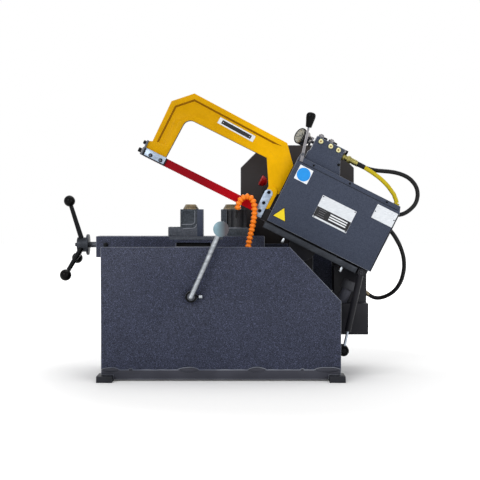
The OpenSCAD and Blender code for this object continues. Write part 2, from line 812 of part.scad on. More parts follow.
module lever_bracket() color("#3f4248") on_arm() {
    translate([lever_a - ear_w / 2, lever_y0, cover_top]) cube([ear_w, eye_l + ear_gap + ear_t, lever_base]);
    translate([lever_a, lever_y0 + eye_l + ear_gap, lever_b]) bar_y(ear_w, ear_t);
    translate([lever_a - ear_w / 2, lever_y0 + eye_l + ear_gap, cover_top])
        cube([ear_w, ear_t, lever_b - cover_top]);
    translate([lever_a, lever_y0, lever_b]) bar_y(lever_pin, eye_l + ear_gap);
}

lever_eye = 12;

module valve_lever() color("#b4b7bb") on_arm() translate([lever_a, 0, lever_b]) difference() {
    union() {
        translate([0, lever_y0 + slide_fit, 0]) bar_y(lever_eye, eye_l);
        translate([0, lever_y0 + slide_fit + eye_l / 2, 0]) rotate([0, -lever_lean, 0])
            cylinder(d = lever_d, h = lever_l);
    }
    translate([0, lever_y0 - over, 0]) bar_y(lever_pin + 2 * run_fit, eye_l + 3 * over);
}

module lever_knob() color("#101113") on_arm() translate([lever_a, lever_y0 + slide_fit + eye_l / 2, lever_b])
    rotate([0, -lever_lean, 0]) translate([0, 0, lever_l]) cylinder(d1 = knob_d0, d2 = knob_d1, h = knob_l);

// Stop switch on a box behind the arm
switch_a0 = -230;
switch_l = 125;
switch_b0 = 120;
switch_h = 78;
switch_gap = 4;
switch_y0 = bed_y + bed_d + switch_gap;
switch_d = 48;
button_d = 42;
button_h = 14;
button_neck = 24;
button_in = 12;
button_gap = 14;
button_travel = 6;
switch_b = switch_b0 + switch_h / 2;
switch_y = switch_y0 + switch_d / 2;

module stop_switch_box() color("#2a2b2f") on_arm() difference() {
    union() {
        translate([switch_a0, switch_y0, switch_b0]) cube([switch_l, switch_d, switch_h]);
        translate([-casting_a, casting_y + casting_d, switch_b0])
            cube([casting_rim, switch_y0 - casting_y - casting_d, switch_h]);
    }
    translate([switch_a0 - over, switch_y, switch_b])
        bar_x(button_neck + 2 * run_fit, button_in + button_travel + 2 * over);
}

module stop_button() color("#b3161c") on_arm() translate([switch_a0, switch_y, switch_b]) {
    translate([-button_gap, 0, 0]) bar_x(button_neck, button_gap + button_in);
    translate([-button_gap - button_h, 0, 0]) bar_x(button_d, button_h);
}

// Lift cylinder between the arm and the base
lift_top = from_arm([lift_a, lift_b]);
lug_z = 93;
lug_d = 42;
lug_x = half_l + lug_d / 2;
lug_t = 20;
lift_dx = lift_top[0] - lug_x;
lift_dz = lift_top[1] - lug_z;
lift_len = sqrt(pow(lift_dx, 2) + pow(lift_dz, 2));
lift_lean = atan2(lift_dx, lift_dz);
open_fit = 8;
gland_l = 14;
barrel_head = 26;
lift_piston = 20;
lift_gap = 6;
rod_eye_wall = 6;
rod_eye_d = pin_d + 2 * (open_fit + rod_eye_wall);

module at_lift() translate([lift_top[0], lift_y, lift_top[1]]) rotate([0, lift_lean, 0]) children();

module lift_lug() color("#151618") {
    plate_xz(bracket_y, lug_t) {
        translate([half_l, lug_z - lug_d / 2]) square([lug_x - half_l, lug_d]);
        translate([lug_x, lug_z]) circle(d = lug_d);
    }
    translate([lug_x, lift_y - eye_w / 2 - pin_end, lug_z])
        bar_y(pin_d, bracket_y - lift_y + eye_w / 2 + pin_end);
}

module lift_barrel() color("#1a1b1d") at_lift() difference() {
    union() {
        translate([0, -eye_w / 2, 0]) bar_y(eye_d, eye_w);
        translate([0, 0, -lift_l]) cylinder(d = lift_d, h = lift_l);
    }
    translate([0, -eye_w / 2 - over, 0]) bar_y(pin_d + 2 * run_fit, eye_w + 2 * over);
    translate([0, 0, -lift_l + gland_l]) cylinder(d = lift_bore, h = lift_l - gland_l - barrel_head);
    translate([0, 0, -lift_l - over]) cylinder(d = lift_rod_d + 2 * run_fit, h = gland_l + 2 * over);
}

piston_z = -barrel_head - lift_gap - lift_piston;

module lift_rod() color("#b9bcc1") at_lift() difference() {
    union() {
        translate([0, 0, piston_z]) cylinder(d = lift_bore - 2 * run_fit, h = lift_piston);
        translate([0, 0, -lift_len]) cylinder(d = lift_rod_d, h = lift_len + piston_z + over);
        translate([0, -eye_w / 2, -lift_len]) bar_y(rod_eye_d, eye_w);
    }
    translate([0, -eye_w / 2 - over, -lift_len]) bar_y(pin_d + 2 * open_fit, eye_w + 2 * over);
}

// Length stop: a cranked rod that slides and turns in a guide on the front panel
lock_d = 8;
lock_head_d = 14;
lock_head_l = 13;
lock_l = 27;
lock_y = front_y - guide_out / 2;
sleeve_out = 2;
sleeve_in = 10;
crank_gap = 4;
crank_y = front_y - guide_out - sleeve_out - crank_gap - stop_d / 2;
disc_t = 10;

module stop_guide() color("#2b2d32") difference() {
    translate([-stop_x, front_y - guide_out, stop_z]) bar_y(guide_d, guide_out + guide_in);
    translate([-stop_x, front_y - guide_out - over, stop_z])
        bar_y(sleeve_d + 2 * run_fit, guide_out + guide_in + 2 * over);
    translate([-stop_x, lock_y, stop_z]) bar_x(lock_d + 2 * run_fit, guide_d);
}

module stop_sleeve() color("#6f7277") difference() {
    translate([-stop_x, front_y - guide_out - sleeve_out, stop_z])
        bar_y(sleeve_d, guide_out + guide_in + sleeve_out + sleeve_in);
    translate([-stop_x, front_y - guide_out - sleeve_out - over, stop_z])
        bar_y(stop_d + 2 * run_fit, guide_out + guide_in + sleeve_out + sleeve_in + 2 * over);
}

module stop_lock_screw() color("#2a2b2e") translate([-stop_x + sleeve_d / 2 + slide_fit, lock_y, stop_z]) {
    bar_x(lock_d, lock_l);
    translate([lock_l - lock_head_l, 0, 0]) bar_x(lock_head_d, lock_head_l);
}

module stop_arm() color("#c6c9cc") translate([-stop_x, crank_y, stop_z]) {
    bar_y(stop_d, front_y + guide_in + sleeve_in - crank_y);
    sphere(d = stop_d);
    rotate([0, stop_lean, 0]) {
        cylinder(d = stop_d, h = stop_l);
        translate([0, 0, stop_l]) {
            sphere(d = stop_d);
            translate([0, -stop_d / 2 - disc_t, 0]) bar_y(disc_d, disc_t);
            translate([0, -stop_d / 2 - disc_t, 0]) bar_y(stop_d, stop_d / 2 + disc_t);
        }
    }
}

// Tubes: rings of corners swept along a smooth curve through a hose's route
TUBE_SIDES = 10;
HOSE_STEPS = 2;
RIB_SIDES = 8;
function unit(v) = v / norm(v);
function bend(p, t) = let (n = len(p) - 1, i = min(floor(t), n - 1), f = t - i, a = p[max(i - 1, 0)],
    b = p[i], c = p[i + 1], d = p[min(i + 2, n)])
    0.5 * (2 * b + (c - a) * f + (2 * a - 5 * b + 4 * c - d) * f * f + (3 * b - a - 3 * c + d) * f * f * f);
function course(p, steps) = [for (k = [0:(len(p) - 1) * steps]) bend(p, k / steps)];
function heading(q, i) = unit(q[min(i + 1, len(q) - 1)] - q[max(i - 1, 0)]);
function ring(q, i, r, n) = let (t = heading(q, i), u = unit(cross(t, [0, 1, 0])), v = cross(t, u))
    [for (k = [0:n - 1]) q[i] + r * (cos(k * 360 / n) * u + sin(k * 360 / n) * v)];
function skin(first, rings, n) = [for (i = [0:rings - 2], k = [0:n - 1])
    let (a = first + i * n + k, b = first + i * n + (k + 1) % n) each [[a, b, b + n], [a, b + n, a + n]]];
function turned(faces) = [for (f = faces) [f[2], f[1], f[0]]];
function fan(first, n) = [for (k = [1:n - 2]) [first, first + k + 1, first + k]];

module tube(q, r) polyhedron([for (i = [0:len(q) - 1]) each ring(q, i, r, TUBE_SIDES)],
    concat(skin(0, len(q), TUBE_SIDES), fan(0, TUBE_SIDES),
        turned(fan((len(q) - 1) * TUBE_SIDES, TUBE_SIDES))));

function collar(outer, inner, n) = [for (k = [0:n - 1]) let (m = (k + 1) % n)
    each [[outer + k, inner + k, inner + m], [outer + k, inner + m, outer + m]]];

module ribbed_tube(q, r, waist_share, bore) {
    n = RIB_SIDES;
    rings = len(q);
    crest = [for (i = [0:rings - 1]) each ring(q, i, i % 2 == 0 ? r * waist_share : r, n)];
    inside = [for (i = [0:rings - 1]) each ring(q, i, bore, n)];
    polyhedron(concat(crest, inside), concat(skin(0, rings, n), turned(skin(rings * n, rings, n)),
        collar(0, rings * n, n), turned(collar((rings - 1) * n, (2 * rings - 1) * n, n))));
}

block_port_b = 366;
yellow_y = -52;
black_y = -26;
yellow_port = 42;
black_port = 50;
elbow_d = 22;
elbow_h = 8;
elbow_l = 18;
elbow_turn = 45;
roof_port_a = 238;
end_port_b = 256;
return_port_b = 205;
return_port_l = 22;
return_port_y = -45;

module hose_fittings() color("#b9964a") on_arm() {
    translate([block_a1, yellow_y, block_port_b]) bar_x(port_d, yellow_port);
    translate([block_a1, black_y, block_port_b]) bar_x(port_d, black_port);
    translate([roof_port_a, yellow_y, cover_top]) {
        cylinder(d = elbow_d, h = elbow_h);
        translate([0, 0, elbow_h]) rotate([0, -elbow_turn, 0]) cylinder(d = hose_d, h = elbow_l);
    }
    translate([cover_end, black_y, end_port_b]) {
        bar_x(elbow_d, elbow_h);
        translate([elbow_h, 0, 0]) rotate([0, elbow_turn, 0]) cylinder(d = hose_d, h = elbow_l);
    }
    translate([cover_end, return_port_y, return_port_b]) bar_x(port_d, return_port_l);
}

// Hose routes on the arm, along and over the pivot
yellow_route = [[42, 366], [60, 368], [80, 368], [100, 366], [120, 363], [140, 359], [158, 354], [175, 348],
    [190, 341], [203, 334], [214, 328], [220, 322], [225.3, 317.7]];
black_route = [[50, 366], [72, 368], [95, 374], [118, 382], [141, 391], [164, 400], [187, 407], [211, 411],
    [235, 411], [258, 405], [278, 394], [293, 378], [302, 358], [305, 337], [303, 316], [298, 298],
    [291, 282], [282.7, 268.7]];
// Route of the return hose from the arm to the tank
return_route = [[654, -45, 536], [670, -45, 526.5], [681, -43, 510], [688.5, -39, 489], [694, -32, 466],
    [698, -22, 442], [700, -9, 418], [700.5, 6, 394], [699, 22, 371], [695, 40, 348], [688, 58, 326],
    [677, 76, 306], [661, 93, 290.5], [643, 107, 280], [625, 117, 275], [607, 124, 275],
    [590, 128.5, 279.7], [574.1, 130, 287.8]];
// Route of the coolant hose from its valve to its nozzle
coolant_y = -80;
coolant_route = [[98, 462], [99, 482], [102, 502], [106, 521], [111, 541], [115, 560], [119, 580], [122, 600],
    [123, 620], [122, 640], [117, 658], [103, 671], [84, 670], [69, 659], [62, 641], [59, 622]];
COOLANT_STEPS = 3;
waist_share = 0.72;
function on_plane(route, y) = [for (p = route) [p[0], y, p[1]]];
coolant_path = course(on_plane(coolant_route, coolant_y), COOLANT_STEPS);

module pressure_hose() color("#c9b21c") on_arm()
    tube(course(on_plane(yellow_route, yellow_y), HOSE_STEPS), hose_d / 2);

module feed_hose() color("#121315") on_arm()
    tube(course(on_plane(black_route, black_y), HOSE_STEPS), hose_d / 2);

module return_hose() color("#121315") tube(course(return_route, HOSE_STEPS), hose_d / 2);

coolant_valve_d = 30;
nozzle_l = 32;
nozzle_d0 = 13;
nozzle_d1 = 5;

module coolant_valve() color("#c9622a") translate([coolant_route[0][0], coolant_y, deck_z])
    cylinder(d = coolant_valve_d, h = coolant_route[0][1] - deck_z);

module coolant_hose() color("#f07d10")
    ribbed_tube(coolant_path, coolant_d / 2, waist_share, coolant_bore / 2);

module coolant_nozzle() {
    tip = coolant_path[len(coolant_path) - 1];
    way = heading(coolant_path, len(coolant_path) - 1);
    color("#151515") translate(tip) rotate([0, atan2(way[0], way[2]), 0])
        cylinder(d1 = nozzle_d0, d2 = nozzle_d1, h = nozzle_l);
}

base_cabinet();
base_frame();
foot_pads();
pivot_pedestals();
pivot_bushes();
vice_bed();
fixed_jaw();
fixed_jaw_plate();
fixed_jaw_cap();
control_cabinet();
oil_tank();
filler_neck();
filler_cap();
tank_fitting();
pump_motor();
hydraulic_pump();
lift_lug();
stop_guide();
coolant_valve();
coolant_hose();
coolant_nozzle();
return_hose();
moving_jaw();
moving_jaw_plate();
moving_jaw_cap();
vice_nut();
vice_screw();
vice_handle();
handle_balls();
stop_sleeve();
stop_arm();
stop_lock_screw();
arm_casting();
arm_cover();
slide_rail();
upper_gib();
gib_screws();
pivot_shaft();
drive_cylinder();
valve_block();
valve_plugs();
pressure_gauge();
lever_bracket();
hose_fittings();
pressure_hose();
feed_hose();
stop_switch_box();
valve_lever();
lever_knob();
stop_button();
bow();
ram();
drive_piston();
saw_blade();
front_holder();
rear_clamp();
clamp_screws();
lift_barrel();
lift_rod();
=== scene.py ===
# %% [markdown]
# # Dressing a hydraulic power hacksaw
# The machine is already built as solids at real size: a sheet steel base, a screw vice and a
# tilting arm that strokes a yellow bow. This lesson gives each surface its finish and models
# the rounded edges, dial, beads, hoses, teeth and small fittings that plain solids lack.

# %% Load the solids as a fixed frame
import json
import math

import bpy
from mathutils import Matrix, Vector


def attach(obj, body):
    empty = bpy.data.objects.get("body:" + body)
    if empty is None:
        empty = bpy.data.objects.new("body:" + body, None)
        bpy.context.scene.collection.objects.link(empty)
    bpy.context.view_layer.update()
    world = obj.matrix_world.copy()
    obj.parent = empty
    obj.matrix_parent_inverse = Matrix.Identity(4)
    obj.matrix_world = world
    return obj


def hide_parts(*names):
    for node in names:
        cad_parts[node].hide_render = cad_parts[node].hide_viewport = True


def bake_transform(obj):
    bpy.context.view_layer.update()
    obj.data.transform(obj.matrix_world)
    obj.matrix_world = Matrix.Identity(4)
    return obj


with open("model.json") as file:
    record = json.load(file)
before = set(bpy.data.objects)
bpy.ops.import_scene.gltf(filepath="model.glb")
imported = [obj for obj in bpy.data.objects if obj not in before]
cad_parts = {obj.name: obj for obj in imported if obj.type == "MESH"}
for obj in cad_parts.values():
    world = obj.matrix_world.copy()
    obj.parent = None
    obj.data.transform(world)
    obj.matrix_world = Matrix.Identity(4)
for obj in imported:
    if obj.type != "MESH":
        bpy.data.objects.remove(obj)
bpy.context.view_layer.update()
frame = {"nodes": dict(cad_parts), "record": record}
MM = 0.001

# %% [markdown]
# ## Camera
# The photograph looks square at the machine from about four metres, a little above the vice.
# A long lens keeps the upright edges parallel, so the camera only dips by a degree and a half
# and needs no shift.

# %% Camera at the photograph's angle
CAMERA_AT = Vector((0.0686, -4.05, 0.62))
CAMERA_DIP = math.radians(1.61)
LENS_MM, SENSOR_MM = 80, 36
camera_data = bpy.data.cameras.new("photo_camera")
camera_data.lens = LENS_MM
camera_data.sensor_width = SENSOR_MM
camera = bpy.data.objects.new("photo_camera", camera_data)
camera.location = CAMERA_AT
camera.rotation_euler = (math.pi / 2 - CAMERA_DIP, 0, 0)
bpy.context.scene.collection.objects.link(camera)
bpy.context.scene.camera = camera
print("camera at:", tuple(round(share, 3) for share in CAMERA_AT))

# %% [markdown]
# ## Studio
# A product photograph on white needs a pale floor that still takes the machine's shadow. The
# world looks white only to the camera, in reflections and through glass. So does the floor, by a
# glow that is faint round the machine, where the shadow lies, and stronger further away.
# Four soft lamps, well back so that their light hardly fades from top to bottom, light the machine.

# %% Floor, world and lamps
scene = bpy.context.scene
scene.view_settings.view_transform = "Standard"


def linear(hex_colour):
    """Linear RGBA of an sRGB hex colour."""
    shares = [int(hex_colour[i:i + 2], 16) / 255 for i in (1, 3, 5)]
    lit = [c / 12.92 if c <= 0.04045 else ((c + 0.055) / 1.055) ** 2.4 for c in shares]
    return (*lit, 1.0)


def node(tree, kind, inputs=None, **settings):
    """Adds one shader node, with its settings, values and links."""
    made = tree.nodes.new("ShaderNode" + kind)
    for name, value in settings.items():
        setattr(made, name, value)
    for name, value in (inputs or {}).items():
        if isinstance(value, bpy.types.NodeSocket):
            tree.links.new(value, made.inputs[name])
        else:
            made.inputs[name].default_value = value
    return made


def seen_directly(tree):
    """A socket that is 1 for rays from the camera, from a mirror or through glass, and 0 for light."""
    path = node(tree, "LightPath")
    share = path.outputs["Is Camera Ray"]
    for ray in ("Is Glossy Ray", "Is Transmission Ray"):
        share = node(tree, "Math", {0: share, 1: path.outputs[ray]}, operation="MAXIMUM").outputs[0]
    return share


SKY_LIGHT = 0.45
world = bpy.data.worlds.new("studio")
scene.world = world
world.use_nodes = True
sky = world.node_tree
sky.nodes["Background"].inputs["Color"].default_value = (1, 1, 1, 1)
sky.nodes["Background"].inputs["Strength"].default_value = SKY_LIGHT
white = node(sky, "Background", {"Color": (1, 1, 1, 1), "Strength": 1.0})
backdrop = node(sky, "MixShader", {
    0: seen_directly(sky), 1: sky.nodes["Background"].outputs[0], 2: white.outputs[0]})
sky.links.new(backdrop.outputs[0], sky.nodes["World Output"].inputs["Surface"])

NEAR_GLOW, FAR_GLOW = 0.05, 0.8
SHADOW_MIDDLE = (0.2, 0, 0)
SHADOW_REACH, WHITE_FROM = 0.75, 1.7
FLOOR_SIZE, FLOOR_Z = 30, -0.0005
bpy.ops.object.select_all(action="DESELECT")
bpy.ops.mesh.primitive_plane_add(size=FLOOR_SIZE, location=(0, 0, FLOOR_Z))
floor = bpy.context.object
floor.name = "studio_floor"
floor_paper = bpy.data.materials.new("white_paper_sweep")
floor_paper.use_nodes = True
paper = floor_paper.node_tree
paper.nodes["Principled BSDF"].inputs["Base Color"].default_value = linear("#f4f4f4")
paper.nodes["Principled BSDF"].inputs["Roughness"].default_value = 0.9
reach = node(paper, "VectorMath", {0: node(paper, "TexCoord").outputs["Object"], 1: SHADOW_MIDDLE},
             operation="DISTANCE").outputs["Value"]
fade = node(paper, "MapRange", {
    "Value": reach, "From Min": SHADOW_REACH, "From Max": WHITE_FROM,
    "To Min": NEAR_GLOW, "To Max": FAR_GLOW}, interpolation_type="SMOOTHSTEP").outputs[0]
lift = node(paper, "Math", {0: seen_directly(paper), 1: fade}, operation="MULTIPLY")
glow = node(paper, "Emission", {"Color": (1, 1, 1, 1), "Strength": lift.outputs[0]})
bright = node(paper, "AddShader", {0: paper.nodes["Principled BSDF"].outputs[0], 1: glow.outputs[0]})
paper.links.new(bright.outputs[0], paper.nodes["Material Output"].inputs["Surface"])
floor.data.materials.append(floor_paper)


def softbox(name, at, aim, size, watts):
    """A square area lamp at a place, aimed at a point."""
    bpy.ops.object.light_add(type="AREA", location=at)
    lamp = bpy.context.object
    lamp.name = name
    lamp.data.shape = "SQUARE"
    lamp.data.size = size
    lamp.data.energy = watts
    lamp.rotation_euler = (Vector(aim) - Vector(at)).to_track_quat("-Z", "Y").to_euler()
    return lamp


MIDDLE = (0.07, 0, 0.5)
softbox("key_softbox", (-2.6, -4.6, 3.0), MIDDLE, 3.2, 128)
softbox("fill_softbox", (3.4, -4.0, 1.8), MIDDLE, 2.8, 66)
softbox("top_softbox", (0.2, 0.3, 3.6), MIDDLE, 2.8, 54)
softbox("back_softbox", (0.6, 4.2, 2.6), MIDDLE, 3.0, 66)

# %% [markdown]
# ## Finishes
# Each finish starts from the real material: stove enamel over steel, ground and oiled steel,
# brass, plated screws, moulded plastics and rubber. Patterns read Object coordinates, which
# are the machine's own metres, so one millimetre on the machine is one millimetre of pattern.

# %% A new material and its surface coordinates
def blank(name, roughness, metallic=0.0, gloss=0.5):
    """A material with a plain principled surface, and the socket of its coordinates."""
    made = bpy.data.materials.new(name)
    made.use_nodes = True
    tree = made.node_tree
    surface = tree.nodes["Principled BSDF"]
    surface.inputs["Roughness"].default_value = roughness
    surface.inputs["Metallic"].default_value = metallic
    surface.inputs["Specular IOR Level"].default_value = gloss
    coords = node(tree, "TexCoord").outputs["Object"]
    return made, tree, surface, coords


def grains(tree, coords, size_mm, low, high, detail=2.0):
    """Noise of a real grain size, stretched to run from 0 at low to 1 at high."""
    noise = node(tree, "TexNoise", {"Vector": coords, "Scale": 1 / (size_mm * MM), "Detail": detail,
                                    "Roughness": 0.55})
    return node(tree, "MapRange", {
        "Value": noise.outputs["Fac"], "From Min": low, "From Max": high}).outputs[0]


def mixed(tree, share, first, second):
    """A colour between two, by a share."""
    return node(tree, "MixRGB", {"Fac": share, "Color1": first, "Color2": second}).outputs["Color"]


def roughened(tree, surface, height, depth_mm, strength):
    """Turns a height pattern into bumps on the surface."""
    bump = node(tree, "Bump", {"Height": height, "Distance": depth_mm * MM, "Strength": strength})
    tree.links.new(bump.outputs["Normal"], surface.inputs["Normal"])


def glossed(tree, surface, pattern, low, high):
    """Lets a pattern move the roughness of the surface from low to high."""
    gloss = node(tree, "MapRange", {"Value": pattern, "To Min": low, "To Max": high})
    tree.links.new(gloss.outputs[0], surface.inputs["Roughness"])


def toned(tree, colour, pattern, low, high):
    """A colour whose brightness a pattern moves from low to high."""
    value = node(tree, "MapRange", {"Value": pattern, "To Min": low, "To Max": high}).outputs[0]
    return node(tree, "HueSaturation", {"Color": colour, "Value": value}).outputs["Color"]


def lessened(tree, share, factor):
    """A share made smaller by a factor."""
    return node(tree, "Math", {0: share, 1: factor}, operation="MULTIPLY").outputs[0]


# %% [markdown]
# ### Textured stove enamel
# The base, the vice bed and the arm's cover wear a hammered two-tone enamel: blue-grey with
# darker cells and pale flecks. The real pattern may be finer than the picture can show, so the
# cells are drawn at about three millimetres and the flecks at two. The cast iron of the jaws takes
# the same pattern at about twice that size. The yellow bow and the red blade wear a smooth enamel
# whose tone drifts along the machine as painted light, brighter towards the right. The dull zinc
# face of the stop's disc drifts likewise, from a painted highlight on its left to painted shade on
# its right.

# %% Enamels
def flecked_enamel(name, colour, dark, pale, cell_mm, roughness, pale_from=0.56, depth_mm=0.25):
    """Hammered enamel: dark cells and pale flecks in a body colour, with an orange-peel skin."""
    made, tree, surface, coords = blank(name, roughness, gloss=0.18)
    cells = grains(tree, coords, cell_mm, 0.36, 0.62)
    flecks = grains(tree, coords, cell_mm * 0.62, pale_from, pale_from + 0.12, 3.0)
    cloud = grains(tree, coords, 190, 0.3, 0.75)
    ground = mixed(tree, cells, linear(dark), linear(colour))
    ground = mixed(tree, flecks, ground, linear(pale))
    tree.links.new(toned(tree, ground, cloud, 0.92, 1.07), surface.inputs["Base Color"])
    glossed(tree, surface, cells, roughness + 0.08, roughness - 0.06)
    roughened(tree, surface, cells, depth_mm, 0.5)
    return made


def smooth_enamel(name, colour, worn, roughness, shine=0.12):
    """Plain enamel: a faint orange peel, slow changes of tone and a few rubbed places."""
    made, tree, surface, coords = blank(name, roughness, gloss=shine)
    cloud = grains(tree, coords, 120, 0.3, 0.7)
    rubbed = grains(tree, coords, 22, 0.66, 0.8, 5.0)
    tone = mixed(tree, cloud, linear(colour), linear(worn))
    tone = mixed(tree, lessened(tree, rubbed, 0.5), tone, linear(worn))
    tree.links.new(tone, surface.inputs["Base Color"])
    glossed(tree, surface, rubbed, roughness, roughness + 0.15)
    roughened(tree, surface, grains(tree, coords, 3.5, 0.3, 0.7), 0.06, 0.35)
    return made


def painted_light_drift(name, left, right, ends_mm, roughness, metallic=0.0, shine=0.06):
    """A finish whose tone drifts along the machine between two places, under faint clouds; the drift is
    painted light.
    """
    made, tree, surface, coords = blank(name, roughness, metallic, shine)
    along = node(tree, "SeparateXYZ", {"Vector": coords}).outputs["X"]
    share = node(tree, "MapRange", {"Value": along, "From Min": ends_mm[0] * MM, "From Max": ends_mm[1] * MM})
    cloud = grains(tree, coords, 30, 0.3, 0.7, 4.0)
    colour = mixed(tree, share.outputs[0], linear(left), linear(right))
    tree.links.new(toned(tree, colour, cloud, 0.94, 1.05), surface.inputs["Base Color"])
    glossed(tree, surface, cloud, roughness - 0.04, roughness + 0.08)
    roughened(tree, surface, grains(tree, coords, 3.5, 0.3, 0.7), 0.06, 0.3)
    return made


BASE_ENAMEL = flecked_enamel("blue_grey_hammered_enamel", "#2f3343", "#1b1e2a", "#5b617e", 3.0, 0.5, 0.545)
ARM_ENAMEL = flecked_enamel(
    "arm_cover_hammered_enamel", "#3b4252", "#303646", "#4d5469", 3.2, 0.46, 0.6, 0.12)
DARK_IRON = flecked_enamel("oiled_cast_iron", "#2a2b2f", "#1f2023", "#35373c", 6.5, 0.46, 0.62, 0.3)
PALE_IRON = flecked_enamel("rubbed_cast_iron", "#535760", "#43474f", "#646873", 6.5, 0.5, 0.6, 0.3)
IRON_ENAMEL = flecked_enamel("painted_cast_iron", "#3d434b", "#2d3238", "#4c525b", 6.5, 0.5, 0.62, 0.3)
BLACK_ENAMEL = smooth_enamel("black_satin_enamel", "#1d1d21", "#26262b", 0.42)
FRAME_ENAMEL = smooth_enamel("grey_black_frame_enamel", "#36373f", "#41424b", 0.45)
DEEP_BLACK = smooth_enamel("deep_black_enamel", "#131416", "#1d1e21", 0.38)
CABINET_ENAMEL = smooth_enamel("charcoal_cabinet_enamel", "#2e2b2b", "#343133", 0.45)
# Painted light: the bow's and the blade's tones drift brighter towards the right.
YELLOW_ENAMEL_PAINTED_LIGHT = painted_light_drift("signal_yellow_enamel_painted_light", "#c89400", "#e3aa00", (10, 140), 0.4)
# Darker yellows paint the shade on the bow's pocket wall and on its throat's edge.
SHADE_PAINTED_YELLOW = smooth_enamel("yellow_enamel_painted_shade", "#906106", "#835705", 0.5, 0.05)
DEEP_SHADE_PAINTED_YELLOW = smooth_enamel("yellow_enamel_painted_deep_shade", "#4a3203", "#3c2802", 0.5, 0.03)
PAD_ENAMEL = smooth_enamel("grey_pad_enamel", "#212226", "#2a2b31", 0.45)
RED_ENAMEL_PAINTED_LIGHT = painted_light_drift("red_blade_enamel_painted_light", "#860614", "#c00412", (-70, 100), 0.42)
MOTOR_ENAMEL = smooth_enamel("motor_blue_enamel", "#45586a", "#3b4c5c", 0.4)
print("enamels made, finishes so far:", len(bpy.data.materials))

# %% [markdown]
# ### Steels, brass and plating
# Ground steel shows fine lines along one way, oiled steel is dark and blotchy, zinc plate is
# pale with a faint yellow or blue cast, and turned brass is bright. The grind lines are under a
# tenth of a millimetre on the machine and are drawn at half a millimetre or more.

# %% Metals
LINE_STRETCH = 30


def worked_steel(name, pale, dark, roughness, line_mm=0.5, along=(1, 1, LINE_STRETCH), stain=0.5):
    """Metal with grind lines along one way and soft stains."""
    made, tree, surface, coords = blank(name, roughness, 1.0)
    stretched = node(tree, "Mapping", {"Vector": coords, "Scale": along}).outputs["Vector"]
    lines = grains(tree, stretched, line_mm * LINE_STRETCH, 0.3, 0.7, 4.0)
    stains = grains(tree, coords, 28, 0.35, 0.75, 4.0)
    tone = mixed(tree, lines, linear(dark), linear(pale))
    tone = mixed(tree, lessened(tree, stains, stain), tone, linear(dark))
    tree.links.new(tone, surface.inputs["Base Color"])
    glossed(tree, surface, stains, roughness - 0.05, roughness + 0.15)
    roughened(tree, surface, lines, 0.04, 0.3)
    return made


GROUND_STEEL = worked_steel("ground_steel", "#aab2bd", "#7b838e", 0.34)
CLAMP_STEEL = worked_steel("blued_clamp_steel", "#a9b6c6", "#7c8898", 0.4, 1.0, (1, 1, 3), 0.8)
GALVANISED = worked_steel("galvanised_steel", "#b4b8bd", "#84888e", 0.36, 1.2, (1, 1, 4), 0.7)
# Painted highlight: the disc's face drifts from a pale blue-grey highlight on the left to shade on the right.
DULL_ZINC_PAINTED_HIGHLIGHT = painted_light_drift("dulled_zinc_face_painted_highlight", "#6c838c", "#4c494c", (-16, 17), 0.42, 1.0, 0.5)
LEVER_STEEL = worked_steel("worn_lever_steel", "#8f8d8f", "#626064", 0.34)
DARK_STEEL = worked_steel("oiled_dark_steel", "#62656c", "#3c3e44", 0.42)
RAIL_STEEL = worked_steel("oiled_rail_steel", "#3e4147", "#27292d", 0.46)
BLACK_STEEL = worked_steel("black_oxide_steel", "#202123", "#131314", 0.36)
PLATED_STEEL = worked_steel("bright_zinc_plate", "#c4c8cd", "#8d9298", 0.24)
YELLOW_ZINC = worked_steel("yellow_zinc_plate", "#a39a5c", "#6d6638", 0.36)
CAP_BRONZE = worked_steel("darkened_bronze_cap", "#8d8068", "#5a503f", 0.34, 1.4, (1, 1, 3), 0.7)
PALE_BRASS = worked_steel("nickelled_brass", "#e4e0b6", "#c2bb84", 0.3)
BRASS = worked_steel("turned_brass", "#c9a84e", "#937631", 0.3)
BRONZE = worked_steel("bearing_bronze", "#a97c46", "#7c5a32", 0.38)
ALUMINIUM = worked_steel("satin_aluminium_plate", "#cfd2d6", "#b2b6bb", 0.4, 0.5, (1, 1, 12), 0.25)
CHROME = worked_steel("polished_gauge_steel", "#b9b6b4", "#8a8683", 0.16)
print("metals made, finishes so far:", len(bpy.data.materials))

# %% [markdown]
# ### Plastics and rubber
# Knobs, the filler cap and the stop button are moulded, with a slight ripple from the mould and
# dust in the shine. The hoses are smooth rubber, and the coolant hose is orange acetal links. The
# stickers, the prints and the gauge's card are smooth and dusty too, so they are made the same way.

# %% Plastics and rubber
def moulded(name, colour, dusty, roughness, shine=0.3, grain_mm=1.2, depth_mm=0.03):
    """Moulded plastic or rubber: an even colour, a fine grain and dust that dulls it in places."""
    made, tree, surface, coords = blank(name, roughness, gloss=shine)
    dust = grains(tree, coords, 35, 0.45, 0.8, 4.0)
    tone = mixed(tree, lessened(tree, dust, 0.5), linear(colour), linear(dusty))
    tree.links.new(tone, surface.inputs["Base Color"])
    glossed(tree, surface, dust, roughness, roughness + 0.18)
    roughened(tree, surface, grains(tree, coords, grain_mm, 0.3, 0.7), depth_mm, 0.3)
    return made


KNOB_PLASTIC = moulded("black_phenolic", "#070708", "#0e0e0f", 0.2, 0.07)
GREY_PLASTIC = moulded("grey_black_cap_plastic", "#3a3b40", "#45464b", 0.45, 0.2)
BLACK_PLASTIC = moulded("black_moulded_plastic", "#151516", "#1f1f21", 0.42, 0.16)
RED_PLASTIC = moulded("red_button_plastic", "#a51216", "#8c1014", 0.28)
ORANGE_PLASTIC = moulded("orange_acetal", "#f58216", "#e06f0c", 0.38)
BLACK_RUBBER = moulded("black_hose_rubber", "#0e0e0f", "#19191a", 0.4, 0.16)
YELLOW_RUBBER = moulded("yellow_hose_rubber", "#bda90c", "#a89509", 0.4, 0.2)
